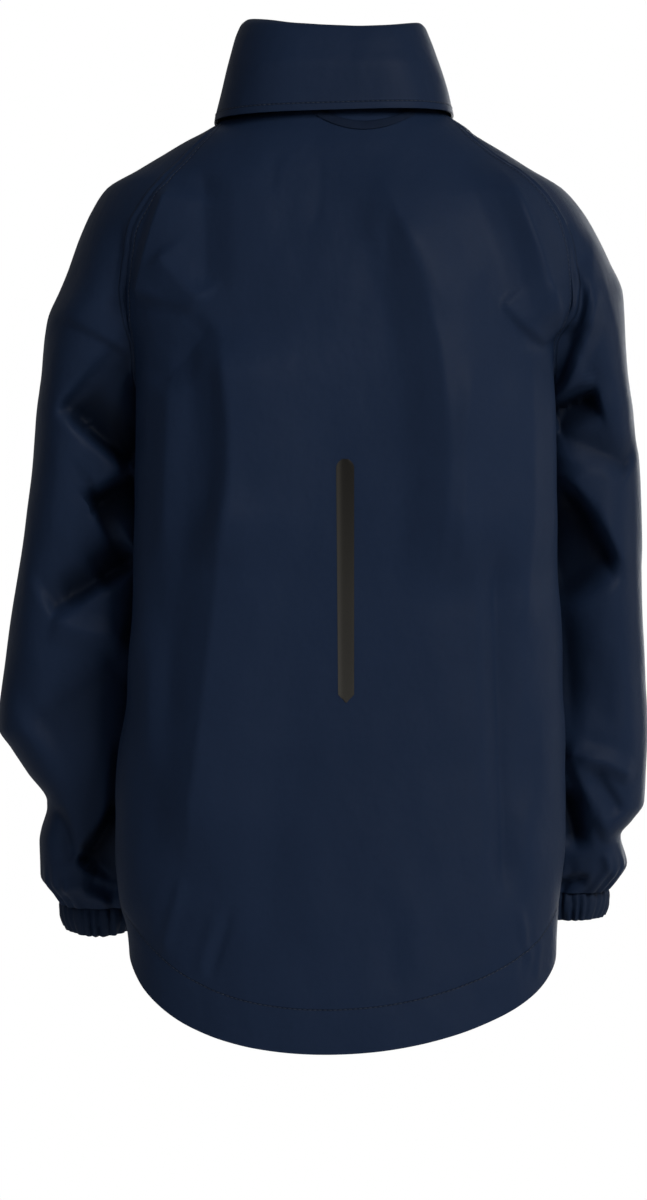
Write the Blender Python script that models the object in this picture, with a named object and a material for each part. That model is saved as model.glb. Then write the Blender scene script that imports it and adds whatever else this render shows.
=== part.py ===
"""Child's raincoat in its worn shape, as separate sewn pieces.

Frame: +Z up, the front (zip) faces -Y, the back faces +Y, and the coat's left side is +X.
The origin is the middle of the neck opening, at the height where the coat hangs on the shoulders.
Sizes below are in millimetres and degrees; meshes are made in metres.
"""

import math

import bmesh
import bpy
import numpy as np
from mathutils import Matrix, Vector

MM = 0.001

# ------------------------------------------------------------------------- cloth and seams
CLOTH = 1.5
CUFF_CLOTH = 2.2
COLLAR_CLOTH = 1.6
SEAM_GAP = 0.3
EDGE_SET_BACK = 0.18
SEAM_SHARE_LIMIT = 0.5
SMOOTH_ANGLE = 50.0

# ------------------------------------------------------------------------- main heights
NECK = 10.0
UNDERARM = -200.0
BACK_HEM = -636.0
SIDE_HEM = -571.0
HEM_LEAN = 0.1
BACK_NECK_RISE = 2.0
FRONT_NECK_DROP = 35.0
NECK_RISE_CURVE = 2.0

# ------------------------------------------------------------------------- grid sizes
LOWER_ROWS = 13
YOKE_ROWS = 12
YOKE_SPREAD = 1.6
BACK_COLUMNS = 24
FRONT_COLUMNS = 8
SLEEVE_COLUMNS = 22

# ------------------------------------------------------------------------- body
BACK_SQUARENESS = 2.3
FRONT_SQUARENESS = 2.0
FRONT_EDGE_X = 3.5
SIDE_FOLD_FADE = 0.5

BODY_COLUMNS = (
    "height", "centre", "half_width", "widest", "back", "front", "left_seam", "right_seam", "front_seam",
)
BODY_SECTIONS = (
    (10, 0.0, 70.0, 3, 66.0, -60.0, 24.0, 24.0, -48.0),
    (5, 0.0, 79.0, 2, 70.5, -64.0, 24.5, 24.5, -46.0),
    (-1.5, 0.5, 89.5, 1, 74.5, -68.0, 26.0, 25.5, -45.0),
    (-6.5, 1.0, 99.0, 0, 77.5, -71.5, 31.5, 29.5, -45.0),
    (-11, 2.0, 107.0, 0, 80.5, -75.0, 36.0, 32.0, -45.0),
    (-21.7, 2.5, 125.5, 0, 86.5, -82.0, 40.5, 35.0, -45.0),
    (-30, 3.0, 139.0, 0, 90.0, -86.0, 43.0, 37.0, -45.0),
    (-42, 4.0, 158.0, 0, 94.5, -91.0, 45.0, 39.5, -44.0),
    (-57, 2.5, 168.5, 0, 99.5, -96.0, 42.0, 36.0, -43.0),
    (-72, 0.0, 171.5, 2, 103.0, -101.0, 36.5, 32.5, -42.0),
    (-94.5, -1.0, 166.0, 8, 108.0, -106.0, 29.5, 26.5, -41.0),
    (-115, -1.0, 161.0, 15, 111.0, -109.5, 24.5, 24.0, -40.0),
    (-138, -0.5, 153.0, 24, 113.5, -112.5, 16.5, 20.5, -37.0),
    (-155, -1.5, 146.5, 31, 114.5, -114.0, 8.0, 10.0, -33.0),
    (-175, -2.2, 144.3, 38, 115.5, -115.5, -4.0, -3.0, -27.0),
    (-200, -2.8, 144.1, 45, 116.0, -117.0, -17.0, -17.0, -17.0),
    (-250, -3.5, 144.8, 45, 115.0, -118.0, -17.0, -17.0, -17.0),
    (-312, -4.4, 145.8, 45, 113.0, -118.0, -17.0, -17.0, -17.0),
    (-358, -4.1, 148.2, 45, 112.0, -118.5, -17.0, -17.0, -17.0),
    (-399, -3.4, 150.3, 45, 112.0, -119.0, -17.0, -17.0, -17.0),
    (-437, -1.4, 154.3, 45, 113.0, -119.0, -17.0, -17.0, -17.0),
    (-473, -0.5, 155.9, 45, 114.0, -119.5, -17.0, -17.0, -17.0),
    (-502, -0.4, 155.8, 45, 115.5, -120.0, -17.0, -17.0, -17.0),
    (-537, 0.5, 152.4, 44, 117.0, -120.0, -17.0, -17.0, -17.0),
    (-556, -1.5, 148.9, 43, 118.0, -120.5, -17.0, -17.0, -17.0),
    (-575, -2.4, 147.4, 42, 119.0, -121.0, -17.0, -17.0, -17.0),
    (-634, -2.4, 145.0, 40, 122.0, -122.0, -17.0, -17.0, -17.0),
)

# ------------------------------------------------------------------------- sleeves
# The inner side of a section above the underarm is only where its oval would end:
# the sleeve stops at the raglan seams there.
SLEEVE_COLUMN_NAMES = ("height", "outer", "inner", "middle", "half_depth")
LEFT_SLEEVE = (
    (10, 70.0, -70.0, 3, 63.0),
    (5, 79.0, -79.0, 2, 67.0),
    (-1.5, 90.0, -89.0, 1, 71.0),
    (-6.5, 100.0, -98.0, 0, 74.0),
    (-11, 110.0, -106.0, 0, 77.0),
    (-21.7, 129.0, -124.0, 0, 84.0),
    (-30, 143.0, -120.0, 0, 87.0),
    (-42, 163.5, -100.0, 0, 88.0),
    (-57, 173.0, -55.0, -1, 84.0),
    (-72, 179.5, 5.0, -3, 79.0),
    (-94.5, 188.5, 62.0, -6, 75.0),
    (-115, 197.0, 92.0, -9, 73.5),
    (-134, 205.0, 109.0, -13, 72.5),
    (-155, 208.5, 120.0, -19, 72.0),
    (-175, 210.5, 129.0, -24, 71.5),
    (-200, 213.0, 135.5, -28, 70.0),
    (-222, 215.0, 138.5, -31, 69.0),
    (-274, 221.5, 139.5, -35, 67.0),
    (-313, 227.5, 140.5, -38, 65.0),
    (-394, 238.8, 144.0, -42, 62.0),
    (-420, 241.0, 145.5, -43, 61.0),
    (-435, 231.6, 146.0, -44, 60.0),
    (-451, 220.5, 146.0, -46, 58.0),
    (-471, 206.5, 145.5, -48, 55.0),
    (-500, 212.2, 143.5, -51, 50.0),
    (-521, 211.6, 142.0, -53, 45.0),
    (-533, 203.5, 142.0, -54, 39.0),
    (-540, 199.0, 142.5, -54, 35.0),
)
RIGHT_SLEEVE = (
    (10, 70.0, -70.0, 3, 63.0),
    (5, 79.0, -79.0, 2, 67.0),
    (-1.5, 90.0, -90.0, 1, 71.0),
    (-6.5, 95.5, -100.0, 0, 74.0),
    (-11, 103.5, -110.0, 0, 77.0),
    (-21.7, 121.5, -129.0, 0, 84.0),
    (-30, 134.5, -120.0, 0, 87.0),
    (-42, 155.0, -100.0, 0, 88.0),
    (-57, 168.0, -55.0, -1, 84.0),
    (-72, 177.0, 5.0, -3, 79.0),
    (-94.5, 188.5, 62.0, -6, 75.0),
    (-115, 197.5, 92.0, -9, 73.5),
    (-134, 199.5, 111.0, -13, 72.5),
    (-155, 200.5, 126.0, -19, 72.0),
    (-175, 202.0, 135.0, -24, 71.5),
    (-200, 206.0, 141.0, -28, 70.0),
    (-222, 209.5, 144.0, -31, 69.0),
    (-265, 212.5, 145.5, -35, 67.0),
    (-327, 213.8, 145.5, -38, 65.0),
    (-391, 216.6, 146.0, -42, 62.0),
    (-420, 217.8, 146.5, -43, 61.0),
    (-450, 216.8, 147.0, -45, 58.0),
    (-472, 215.5, 147.0, -47, 55.0),
    (-484, 207.0, 147.0, -48, 53.0),
    (-494, 198.8, 146.0, -49, 51.0),
    (-515, 203.8, 143.0, -51, 46.0),
    (-526, 197.6, 140.0, -52, 41.0),
    (-534, 191.3, 138.0, -53, 35.0),
)
SLEEVE_ROW_STEP = 19.0
LEFT_WRIST = -540.0
RIGHT_WRIST = -534.0
LEFT_WRIST_TILT = 0.22
RIGHT_WRIST_TILT = 0.08
WRIST_TILT_REACH = 120.0
SEAM_REACH = 0.4
UNDERSEAM_DROP = 80.0
WRIST_GATHERS = 12
WRIST_GATHER_DEPTH = 1.3
WRIST_GATHER_REACH = 26.0
SEAM_FOLD_FADE = 0.12

# ------------------------------------------------------------------------- cuffs
LEFT_CUFF_LENGTH = 21.0
RIGHT_CUFF_LENGTH = 20.0
CUFF_GATHERS = 20
CUFF_GATHER_DEPTH = 1.3
CUFF_COLUMNS = 60
CUFF_ROWS = 2
CUFF_SWELL = 1.5
CUFF_PULL_IN = 3.0
CUFF_SQUEEZE = 0.8
CUFF_SEAM_GAP = 0.8

# ------------------------------------------------------------------------- folds
# Each fold is a soft trough (negative depth) or ridge along a line in the X-Z plane; its bow is how
# far its middle leaves the straight line.
FOLD_COLUMNS = ("start_x", "start_z", "end_x", "end_z", "bow", "width", "depth")
FOLD_END = 0.22
BACK_FOLDS = (
    (118, -38, 139, -126, -4, 11, -4.5),
    (121, -86, 97, -126, 5, 12, 3.0),
    (86, -140, 92, -470, 8, 22, -5.0),
    (58, -180, 60, -420, 4, 24, 2.5),
    (13, -8, 14, -72, 0, 14, -2.0),
    (-7, -14, -53, -212, 12, 17, -4.0),
    (-94, -22, -131, -136, 6, 11, -5.5),
    (-110, -128, -139, -148, 2, 10, 3.0),
    (-92, -255, -97, -570, 2, 20, 3.5),
    (-122, -240, -124, -520, 3, 16, -3.5),
    (118, -250, 128, -560, -3, 18, 3.0),
    (112, -560, 96, -610, 0, 12, -2.0),
    (20, -470, 30, -630, 4, 30, 2.0),
    (-45, -440, -50, -630, -3, 26, -2.5),
)
FRONT_FOLDS = (
    (60, -70, 92, -180, 6, 18, -4.0),
    (-62, -66, -90, -176, -6, 18, -4.0),
    (72, -230, 66, -540, 6, 24, -4.5),
    (-70, -240, -76, -560, -5, 24, -4.5),
    (108, -260, 104, -540, 0, 20, 3.0),
    (-106, -250, -108, -550, 0, 20, 3.0),
    (32, -300, 30, -560, 0, 16, 2.0),
)
LEFT_SLEEVE_FOLDS = (
    (202, -134, 146, -170, 3, 14, -4.0),
    (184, -187, 146, -224, 3, 14, -4.0),
    (150, -240, 168, -272, 4, 16, -5.5),
    (148, -300, 204, -341, -4, 14, -4.5),
    (206, -352, 150, -362, -4, 14, 3.0),
    (231, -430, 158, -394, 0, 16, 3.0),
    (204, -466, 180, -508, 4, 14, -4.5),
)
RIGHT_SLEEVE_FOLDS = (
    (-176, -86, -148, -166, -4, 15, -4.0),
    (-150, -216, -204, -240, 3, 16, -3.0),
    (-151, -252, -192, -316, -6, 15, -5.5),
    (-158, -434, -211, -456, 3, 15, -3.0),
    (-162, -440, -198, -508, -4, 15, 3.5),
    (-164, -472, -170, -512, 3, 15, -3.0),
)

# ------------------------------------------------------------------------- collar
# Visible side of the collar from the fall's free edge, over the top and down inside to the neck.
COLLAR_COLUMN_NAMES = ("place", "centre", "half_width", "back", "front", "side_z", "lean", "back_z", "front_z")
COLLAR_SECTIONS = (
    (0, 4.3, 83.5, 87.0, -70.0, 4.6, -2.4, 4.0, -19.0),
    (1, 4.1, 79.8, 84.0, -69.0, 21.0, -1.0, 20.0, -1.0),
    (2, 4.3, 75.6, 80.5, -68.0, 36.5, 0.0, 33.5, 16.0),
    (3, 4.6, 71.2, 76.5, -67.0, 50.0, 0.5, 46.5, 31.0),
    (4, 4.9, 67.3, 72.5, -66.0, 61.0, 1.0, 56.5, 41.0),
    (5, 4.6, 63.8, 69.0, -65.0, 68.5, 1.3, 62.0, 47.5),
    (6, 4.2, 60.5, 65.5, -62.5, 71.0, 1.3, 63.5, 50.0),
    (7, 3.8, 57.6, 62.0, -60.0, 69.0, 1.3, 61.0, 48.0),
    (8, 3.4, 56.4, 60.0, -58.8, 63.0, 1.0, 55.0, 42.0),
    (9, 1.8, 60.5, 60.5, -58.2, 38.0, 0.5, 35.0, 10.0),
    (10, 0.0, 67.0, 62.5, -58.2, 11.4, 0.0, 13.4, -23.4),
)
COLLAR_END_ANGLE = 5.7
COLLAR_COLUMNS = 36
COLLAR_WAVES = 7
COLLAR_WAVE_DEPTH = 1.2
COLLAR_TOP_PLACE = 6

# ------------------------------------------------------------------------- small pieces
STRIP_TOP = -235.5
STRIP_LENGTH = 164.0
STRIP_TOP_X = -3.0
STRIP_LEAN = -0.7
STRIP_TOP_HALF_WIDTH = 6.1
STRIP_BOTTOM_HALF_WIDTH = 5.4
STRIP_ROUND_TOP = 6.0
STRIP_POINT = 5.0
STRIP_TIP_WIDTH = 0.3
STRIP_THICKNESS = 1.0
STRIP_ROWS = 20

LOOP_MIDDLE_X = -15.5
LOOP_HALF_SPAN = 35.0
LOOP_DROP = 12.0
LOOP_TOP = 7.0
LOOP_TAPE = 5.0
LOOP_THICKNESS = 1.2
LOOP_COLUMNS = 22
LOOP_STAND_OFF = 0.5

# ------------------------------------------------------------------------- zip
CHAIN_HALF_WIDTH = 2.8
CHAIN_THICKNESS = 1.6
TAPE_HALF_WIDTH = 11.0
TAPE_THICKNESS = 1.0
TAPE_STAND_OFF = 0.9
ZIP_HEM_MARGIN = 3.0
ZIP_ROWS = 18
ZIP_COLUMNS = 4
ZIP_COLLAR_START = 9.7
ZIP_COLLAR_END = 8.0
ZIP_COLLAR_ROWS = 5

SLIDER_TOP = 41.0
SLIDER_LENGTH = 12.0
SLIDER_HALF_WIDTH = 4.6
SLIDER_THICKNESS = 2.6
LUG_HALF_GAP = 1.9
LUG_WIDTH = 1.1
LUG_HEIGHT = 5.0
LUG_DEPTH = 3.6
LUG_ROOT = 1.0
PIN_RADIUS = 0.55
PIN_SIDES = 24
TAB_LENGTH = 24.0
TAB_HALF_WIDTH = 3.4
TAB_THICKNESS = 1.5
TAB_NECK_HALF_WIDTH = 1.5
TAB_NECK_TOP = -0.7
TAB_NECK_LENGTH = 5.5
TAB_PLATE_OVERLAP = 0.5
KNUCKLE_RADIUS = 1.7
KNUCKLE_BORE = 0.65
BOX_HEIGHT = 9.0
BOX_HALF_WIDTH = 4.6
BOX_THICKNESS = 2.4

# ------------------------------------------------------------------------- colours
NAVY = (0.0103, 0.0194, 0.0423)
NAVY_SLEEVE = (0.0095, 0.0180, 0.0400)
NAVY_TRIM = (0.0080, 0.0150, 0.0330)
STRIP_GREY = (0.034, 0.032, 0.029)
ZIP_TAPE_NAVY = (0.0070, 0.0120, 0.0260)
ZIP_METAL = (0.030, 0.032, 0.036)
CLOTH_ROUGHNESS = 0.55
TRIM_ROUGHNESS = 0.6
STRIP_ROUGHNESS = 0.4
TAPE_ROUGHNESS = 0.7
METAL_ROUGHNESS = 0.35
METAL_SHARE = 0.8


def clear_scene():
    """Remove the objects that a new Blender file starts with."""
    for thing in list(bpy.data.objects):
        bpy.data.objects.remove(thing, do_unlink=True)


# =========================================================================== tables and curves
def smooth_slopes(places, values):
    """Slopes of a smooth curve through the values that never overshoots them."""
    steps = np.diff(values) / np.diff(places)
    before = steps[:-1]
    after = steps[1:]
    same_way = before * after > 0
    total = np.where(same_way, before + after, 1.0)
    slopes = np.empty(len(values))
    slopes[0] = steps[0]
    slopes[-1] = steps[-1]
    slopes[1:-1] = np.where(same_way, 2.0 * before * after / total, 0.0)
    return slopes


class Sections:
    """A table of sections in order of its first column, read between its rows as smooth curves."""

    def __init__(self, columns, rows):
        table = np.array(sorted(rows), dtype=float)
        self.places = table[:, 0]
        self.curves = {}
        for number, name in enumerate(columns[1:], start=1):
            self.curves[name] = (table[:, number], smooth_slopes(self.places, table[:, number]))

    def at(self, name, place):
        """Value of one column at a place, or at an array of places."""
        values, slopes = self.curves[name]
        place = np.clip(place, self.places[0], self.places[-1])
        row = np.clip(np.searchsorted(self.places, place) - 1, 0, len(self.places) - 2)
        span = self.places[row + 1] - self.places[row]
        part = (place - self.places[row]) / span
        rest = 1.0 - part
        start = rest * rest * ((1.0 + 2.0 * part) * values[row] + part * span * slopes[row])
        end = part * part * ((3.0 - 2.0 * part) * values[row + 1] - rest * span * slopes[row + 1])
        return start + end


BODY = Sections(BODY_COLUMNS, BODY_SECTIONS)
SLEEVES = {1: Sections(SLEEVE_COLUMN_NAMES, LEFT_SLEEVE), -1: Sections(SLEEVE_COLUMN_NAMES, RIGHT_SLEEVE)}
COLLAR = Sections(COLLAR_COLUMN_NAMES, COLLAR_SECTIONS)


def ease(value):
    """Smooth step from 0 to 1."""
    share = np.clip(value, 0.0, 1.0)
    return share * share * (3.0 - 2.0 * share)


def signed_power(value, power):
    """Power of a number's size that keeps its sign."""
    return np.sign(value) * np.abs(value) ** power


def fold_height(folds, x, z):
    """Sum of the folds' heights at points seen from the front or the back."""
    height = np.zeros(np.broadcast(x, z).shape)
    for row in folds:
        fold = dict(zip(FOLD_COLUMNS, row))
        run_x = fold["end_x"] - fold["start_x"]
        run_z = fold["end_z"] - fold["start_z"]
        length = math.hypot(run_x, run_z)
        along = ((x - fold["start_x"]) * run_x + (z - fold["start_z"]) * run_z) / length**2
        across = ((x - fold["start_x"]) * run_z - (z - fold["start_z"]) * run_x) / length
        bend = fold["bow"] * 4.0 * along * (1.0 - along)
        ends = ease(along / FOLD_END) * ease((1.0 - along) / FOLD_END)
        height += fold["depth"] * ends * np.exp(-(((across - bend) / fold["width"]) ** 2))
    return height


# =========================================================================== body surface
def yoke_levels():
    """Heights of the rows from the underarm to the neck, closer together near the neck."""
    steps = np.linspace(1.0, 0.0, YOKE_ROWS + 1) ** YOKE_SPREAD
    return NECK - (NECK - UNDERARM) * steps


def body_point(angles, level):
    """Outer face of the body before folds; angle 0 is the left side and 90 degrees the centre back."""
    sine = np.sin(angles)
    is_back = sine > 0
    power = 2.0 / np.where(is_back, BACK_SQUARENESS, FRONT_SQUARENESS)
    widest = BODY.at("widest", level)
    reach = np.where(is_back, BODY.at("back", level) - widest, widest - BODY.at("front", level))
    x = BODY.at("centre", level) + BODY.at("half_width", level) * signed_power(np.cos(angles), power)
    y = widest + reach * signed_power(sine, power)
    rise = np.clip((level - UNDERARM) / (NECK - UNDERARM), 0.0, 1.0) ** NECK_RISE_CURVE
    z = level + rise * sine**2 * np.where(is_back, BACK_NECK_RISE, -FRONT_NECK_DROP)
    return np.stack([x, y, z], axis=-1)


def body_outward(angles, level):
    """Level direction that points out of the body."""
    widest = BODY.at("widest", level)
    is_back = np.sin(angles) > 0
    reach = np.where(is_back, BODY.at("back", level) - widest, widest - BODY.at("front", level))
    x = np.cos(angles) / BODY.at("half_width", level)
    y = np.sin(angles) / reach
    size = np.hypot(x, y)
    return np.stack([x / size, y / size, np.zeros_like(size)], axis=-1)


def body_skin(angles, level):
    """Outer face of the body with its folds."""
    points = body_point(angles, level)
    folds_back = fold_height(BACK_FOLDS, points[..., 0], points[..., 2])
    folds_front = fold_height(FRONT_FOLDS, points[..., 0], points[..., 2])
    sine = np.sin(angles)
    height = folds_back * ease(sine / SIDE_FOLD_FADE) + folds_front * ease(-sine / SIDE_FOLD_FADE)
    return points + height[..., None] * body_outward(angles, level)


def hem_height(angles):
    """Hem: level on the front, dropped on the back in a shirt tail that hangs lowest left of its middle."""
    across = signed_power(np.cos(angles), 2.0 / BACK_SQUARENESS)
    across = across - HEM_LEAN * (1.0 - across**2)
    drop = np.sqrt(np.clip(1.0 - across**2, 0.0, 1.0)) * (np.sin(angles) > 0)
    return SIDE_HEM + (BACK_HEM - SIDE_HEM) * drop


def body_grid(start_angle, end_angle, columns):
    """Panel points from hem to neck; the two functions give its side angles at an array of heights."""
    rows = []
    share = np.linspace(0.0, 1.0, columns + 1)
    for step in range(LOWER_ROWS):
        start = start_angle(np.array(UNDERARM))
        end = end_angle(np.array(UNDERARM))
        angles = start + (end - start) * share
        hem = hem_height(angles)
        heights = hem + (UNDERARM - hem) * step / LOWER_ROWS
        angles = start_angle(heights) + (end_angle(heights) - start_angle(heights)) * share
        rows.append(body_skin(angles, heights))
    for level in yoke_levels():
        heights = np.full(columns + 1, level)
        angles = start_angle(heights) + (end_angle(heights) - start_angle(heights)) * share
        rows.append(body_skin(angles, heights))
    return np.array(rows)


def left_back_seam(level):
    """Angle of the left side and raglan seam on the back panel."""
    return np.radians(BODY.at("left_seam", level))


def right_back_seam(level):
    """Angle of the right side and raglan seam on the back panel."""
    return math.pi - np.radians(BODY.at("right_seam", level))


def left_front_seam(level):
    """Angle of the left side and raglan seam on the left front."""
    return np.radians(BODY.at("front_seam", level))


def right_front_seam(level):
    """Angle of the right side and raglan seam on the right front."""
    return -math.pi - left_front_seam(level)


def front_edge(level, side):
    """Angle of a front panel's edge beside the zip."""
    return -np.arccos((side * FRONT_EDGE_X - BODY.at("centre", level)) / BODY.at("half_width", level))


def left_front_edge(level):
    """Angle of the left front's zip edge."""
    return front_edge(level, 1)


def right_front_edge(level):
    """Angle of the right front's zip edge."""
    return front_edge(level, -1)


# =========================================================================== sleeve surface
def mirrored(points, side):
    """Points turned over to the other side of the coat when side is -1."""
    return points * np.array([side, 1.0, 1.0])


def sleeve_row(side, level, front_end, back_end, height, wrist_share):
    """One row round a sleeve from its front seam to its back seam, on its own left-hand side."""
    section = SLEEVES[side]
    share = np.linspace(0.0, 1.0, SLEEVE_COLUMNS + 1)
    outer = section.at("outer", level)
    inner = section.at("inner", level)
    half_width = (outer - inner) / 2.0
    half_depth = section.at("half_depth", level)
    front_angle, front_reach = front_end
    back_angle, back_reach = back_end
    angles = front_angle + (back_angle - front_angle) * share
    near_front = np.clip(1.0 - share / SEAM_REACH, 0.0, 1.0) ** 2
    near_back = np.clip(1.0 - (1.0 - share) / SEAM_REACH, 0.0, 1.0) ** 2
    reach = 1.0 + (front_reach - 1.0) * near_front + (back_reach - 1.0) * near_back
    gather = WRIST_GATHER_DEPTH * ease(wrist_share) * np.cos(WRIST_GATHERS * (angles - front_angle))
    reach = reach + gather / half_depth
    x = (outer + inner) / 2.0 + half_width * reach * np.cos(angles)
    y = section.at("middle", level) + half_depth * reach * np.sin(angles)
    z = level + height[0] * (1.0 - share) ** 2 + height[1] * share**2
    folds = LEFT_SLEEVE_FOLDS if side > 0 else RIGHT_SLEEVE_FOLDS
    seam_fade = ease(share / SEAM_FOLD_FADE) * ease((1.0 - share) / SEAM_FOLD_FADE)
    bump = fold_height(folds, side * x, z) * np.sqrt(np.abs(np.sin(angles))) * seam_fade
    return np.stack([x + bump * np.cos(angles), y + bump * np.sin(angles), z], axis=-1)


def seam_end(side, level, point):
    """Angle and reach of a seam point as seen from the middle of the sleeve's section."""
    section = SLEEVES[side]
    outer = section.at("outer", level)
    inner = section.at("inner", level)
    across = (point[0] - (outer + inner) / 2.0) / ((outer - inner) / 2.0)
    along = (point[1] - section.at("middle", level)) / section.at("half_depth", level)
    return math.atan2(along, across), math.hypot(across, along)


def tube_levels(side, wrist):
    """Heights of a sleeve's rows from wrist to underarm, one at each of its sections and some between."""
    places = [place for place in SLEEVES[side].places if wrist <= place <= UNDERARM]
    levels = []
    for low, high in zip(places, places[1:]):
        steps = math.ceil((high - low) / SLEEVE_ROW_STEP)
        levels.extend(low + (high - low) * step / steps for step in range(steps))
    return levels


def tilted(points, side, wrist, tilt, share):
    """Points whose back is lowered and front raised, as the end of a bent arm's sleeve is."""
    middle = SLEEVES[side].at("middle", wrist)
    lowered = points.copy()
    lowered[..., 2] -= tilt * share * (points[..., 1] - middle)
    return lowered


def sleeve_grid(side, front_seam, back_seam, wrist, tilt):
    """Sleeve points from wrist to neck; the seams are the panels' own edges from underarm to neck."""
    front_points = mirrored(front_seam, side)
    back_points = mirrored(back_seam, side)
    underarm_angle, underarm_reach = seam_end(side, UNDERARM, back_points[0])
    rows = []
    for level in tube_levels(side, wrist):
        fade = ease((UNDERARM - level) / UNDERSEAM_DROP)
        angle = underarm_angle + (math.pi - underarm_angle) * fade
        reach = underarm_reach + (1.0 - underarm_reach) * fade
        wrist_share = 1.0 - (level - wrist) / WRIST_GATHER_REACH
        ends = ((angle - 2.0 * math.pi, reach), (angle, reach))
        row = sleeve_row(side, level, *ends, (0.0, 0.0), wrist_share)
        rows.append(tilted(row, side, wrist, tilt, ease(1.0 - (level - wrist) / WRIST_TILT_REACH)))
    for number, level in enumerate(yoke_levels()):
        front_angle, front_reach = seam_end(side, level, front_points[number])
        if front_angle > math.pi / 2.0:
            front_angle -= 2.0 * math.pi
        back_end = seam_end(side, level, back_points[number])
        height = (front_points[number][2] - level, back_points[number][2] - level)
        rows.append(sleeve_row(side, level, (front_angle, front_reach), back_end, height, 0.0))
    grid = mirrored(np.array(rows), side)
    return grid if side > 0 else grid[:, ::-1]


# =========================================================================== walls
def outward(grid, joined_rows):
    """Outward direction at each grid point; the first joined_rows rows are closed rings."""
    across = np.gradient(grid, axis=1)
    ring = grid[:joined_rows, 1] - grid[:joined_rows, -2]
    across[:joined_rows, 0] = ring
    across[:joined_rows, -1] = ring
    normals = np.cross(across, np.gradient(grid, axis=0))
    return normals / np.linalg.norm(normals, axis=-1, keepdims=True)


def share_direction(first, second):
    """Give two seam edges one common direction where their panels lie nearly flush."""
    for number in range(len(first)):
        if first[number] @ second[number] > SEAM_SHARE_LIMIT:
            common = first[number] + second[number]
            common = common / np.linalg.norm(common)
            first[number] = common
            second[number] = common


def set_back(grid, column, neighbour, first_row):
    """Move an edge back from its seam by a little over half the seam gap."""
    edge = grid[first_row:, column]
    inward = grid[first_row:, neighbour] - edge
    inward = inward / np.linalg.norm(inward, axis=-1, keepdims=True)
    grid[first_row:, column] = edge + inward * EDGE_SET_BACK


def material(name, colour, roughness, metallic=0.0):
    """Principled material with one plain colour."""
    made = bpy.data.materials.new(name)
    made.use_nodes = True
    shader = made.node_tree.nodes["Principled BSDF"]
    shader.inputs["Base Color"].default_value = (*colour, 1.0)
    shader.inputs["Roughness"].default_value = roughness
    shader.inputs["Metallic"].default_value = metallic
    return made


def add_object(name, vertices, faces, surface):
    """Object from points in millimetres and faces."""
    mesh = bpy.data.meshes.new(name)
    mesh.from_pydata([Vector(point) * MM for point in vertices], [], faces)
    mesh.materials.append(surface)
    mesh.shade_smooth()
    mesh.set_sharp_from_angle(angle=math.radians(SMOOTH_ANGLE))
    made = bpy.data.objects.new(name, mesh)
    bpy.context.scene.collection.objects.link(made)
    return made


def add_wall(name, grid, normals, thickness, surface, joined_rows=0):
    """Closed wall with the grid as its outer face and a rim round each open edge."""
    rows, columns = grid.shape[:2]
    ids = np.arange(rows * columns).reshape(rows, columns)
    ids[:joined_rows, -1] = ids[:joined_rows, 0]
    used, compact = np.unique(ids, return_inverse=True)
    ids = compact.reshape(rows, columns)
    outer = grid.reshape(-1, 3)[used]
    inner = outer - thickness * normals.reshape(-1, 3)[used]
    faces = []
    for row in range(rows - 1):
        for column in range(columns - 1):
            low = (ids[row, column], ids[row, column + 1])
            high = (ids[row + 1, column + 1], ids[row + 1, column])
            faces.append(tuple(int(corner) for corner in low + high))
    edges = {(face[corner - 1], face[corner]) for face in faces for corner in range(4)}
    under = len(used)
    back_faces = [tuple(corner + under for corner in reversed(face)) for face in faces]
    rims = [(end, start, start + under, end + under) for start, end in edges if (end, start) not in edges]
    return add_object(name, np.concatenate([outer, inner]), faces + back_faces + sorted(rims), surface)


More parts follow.
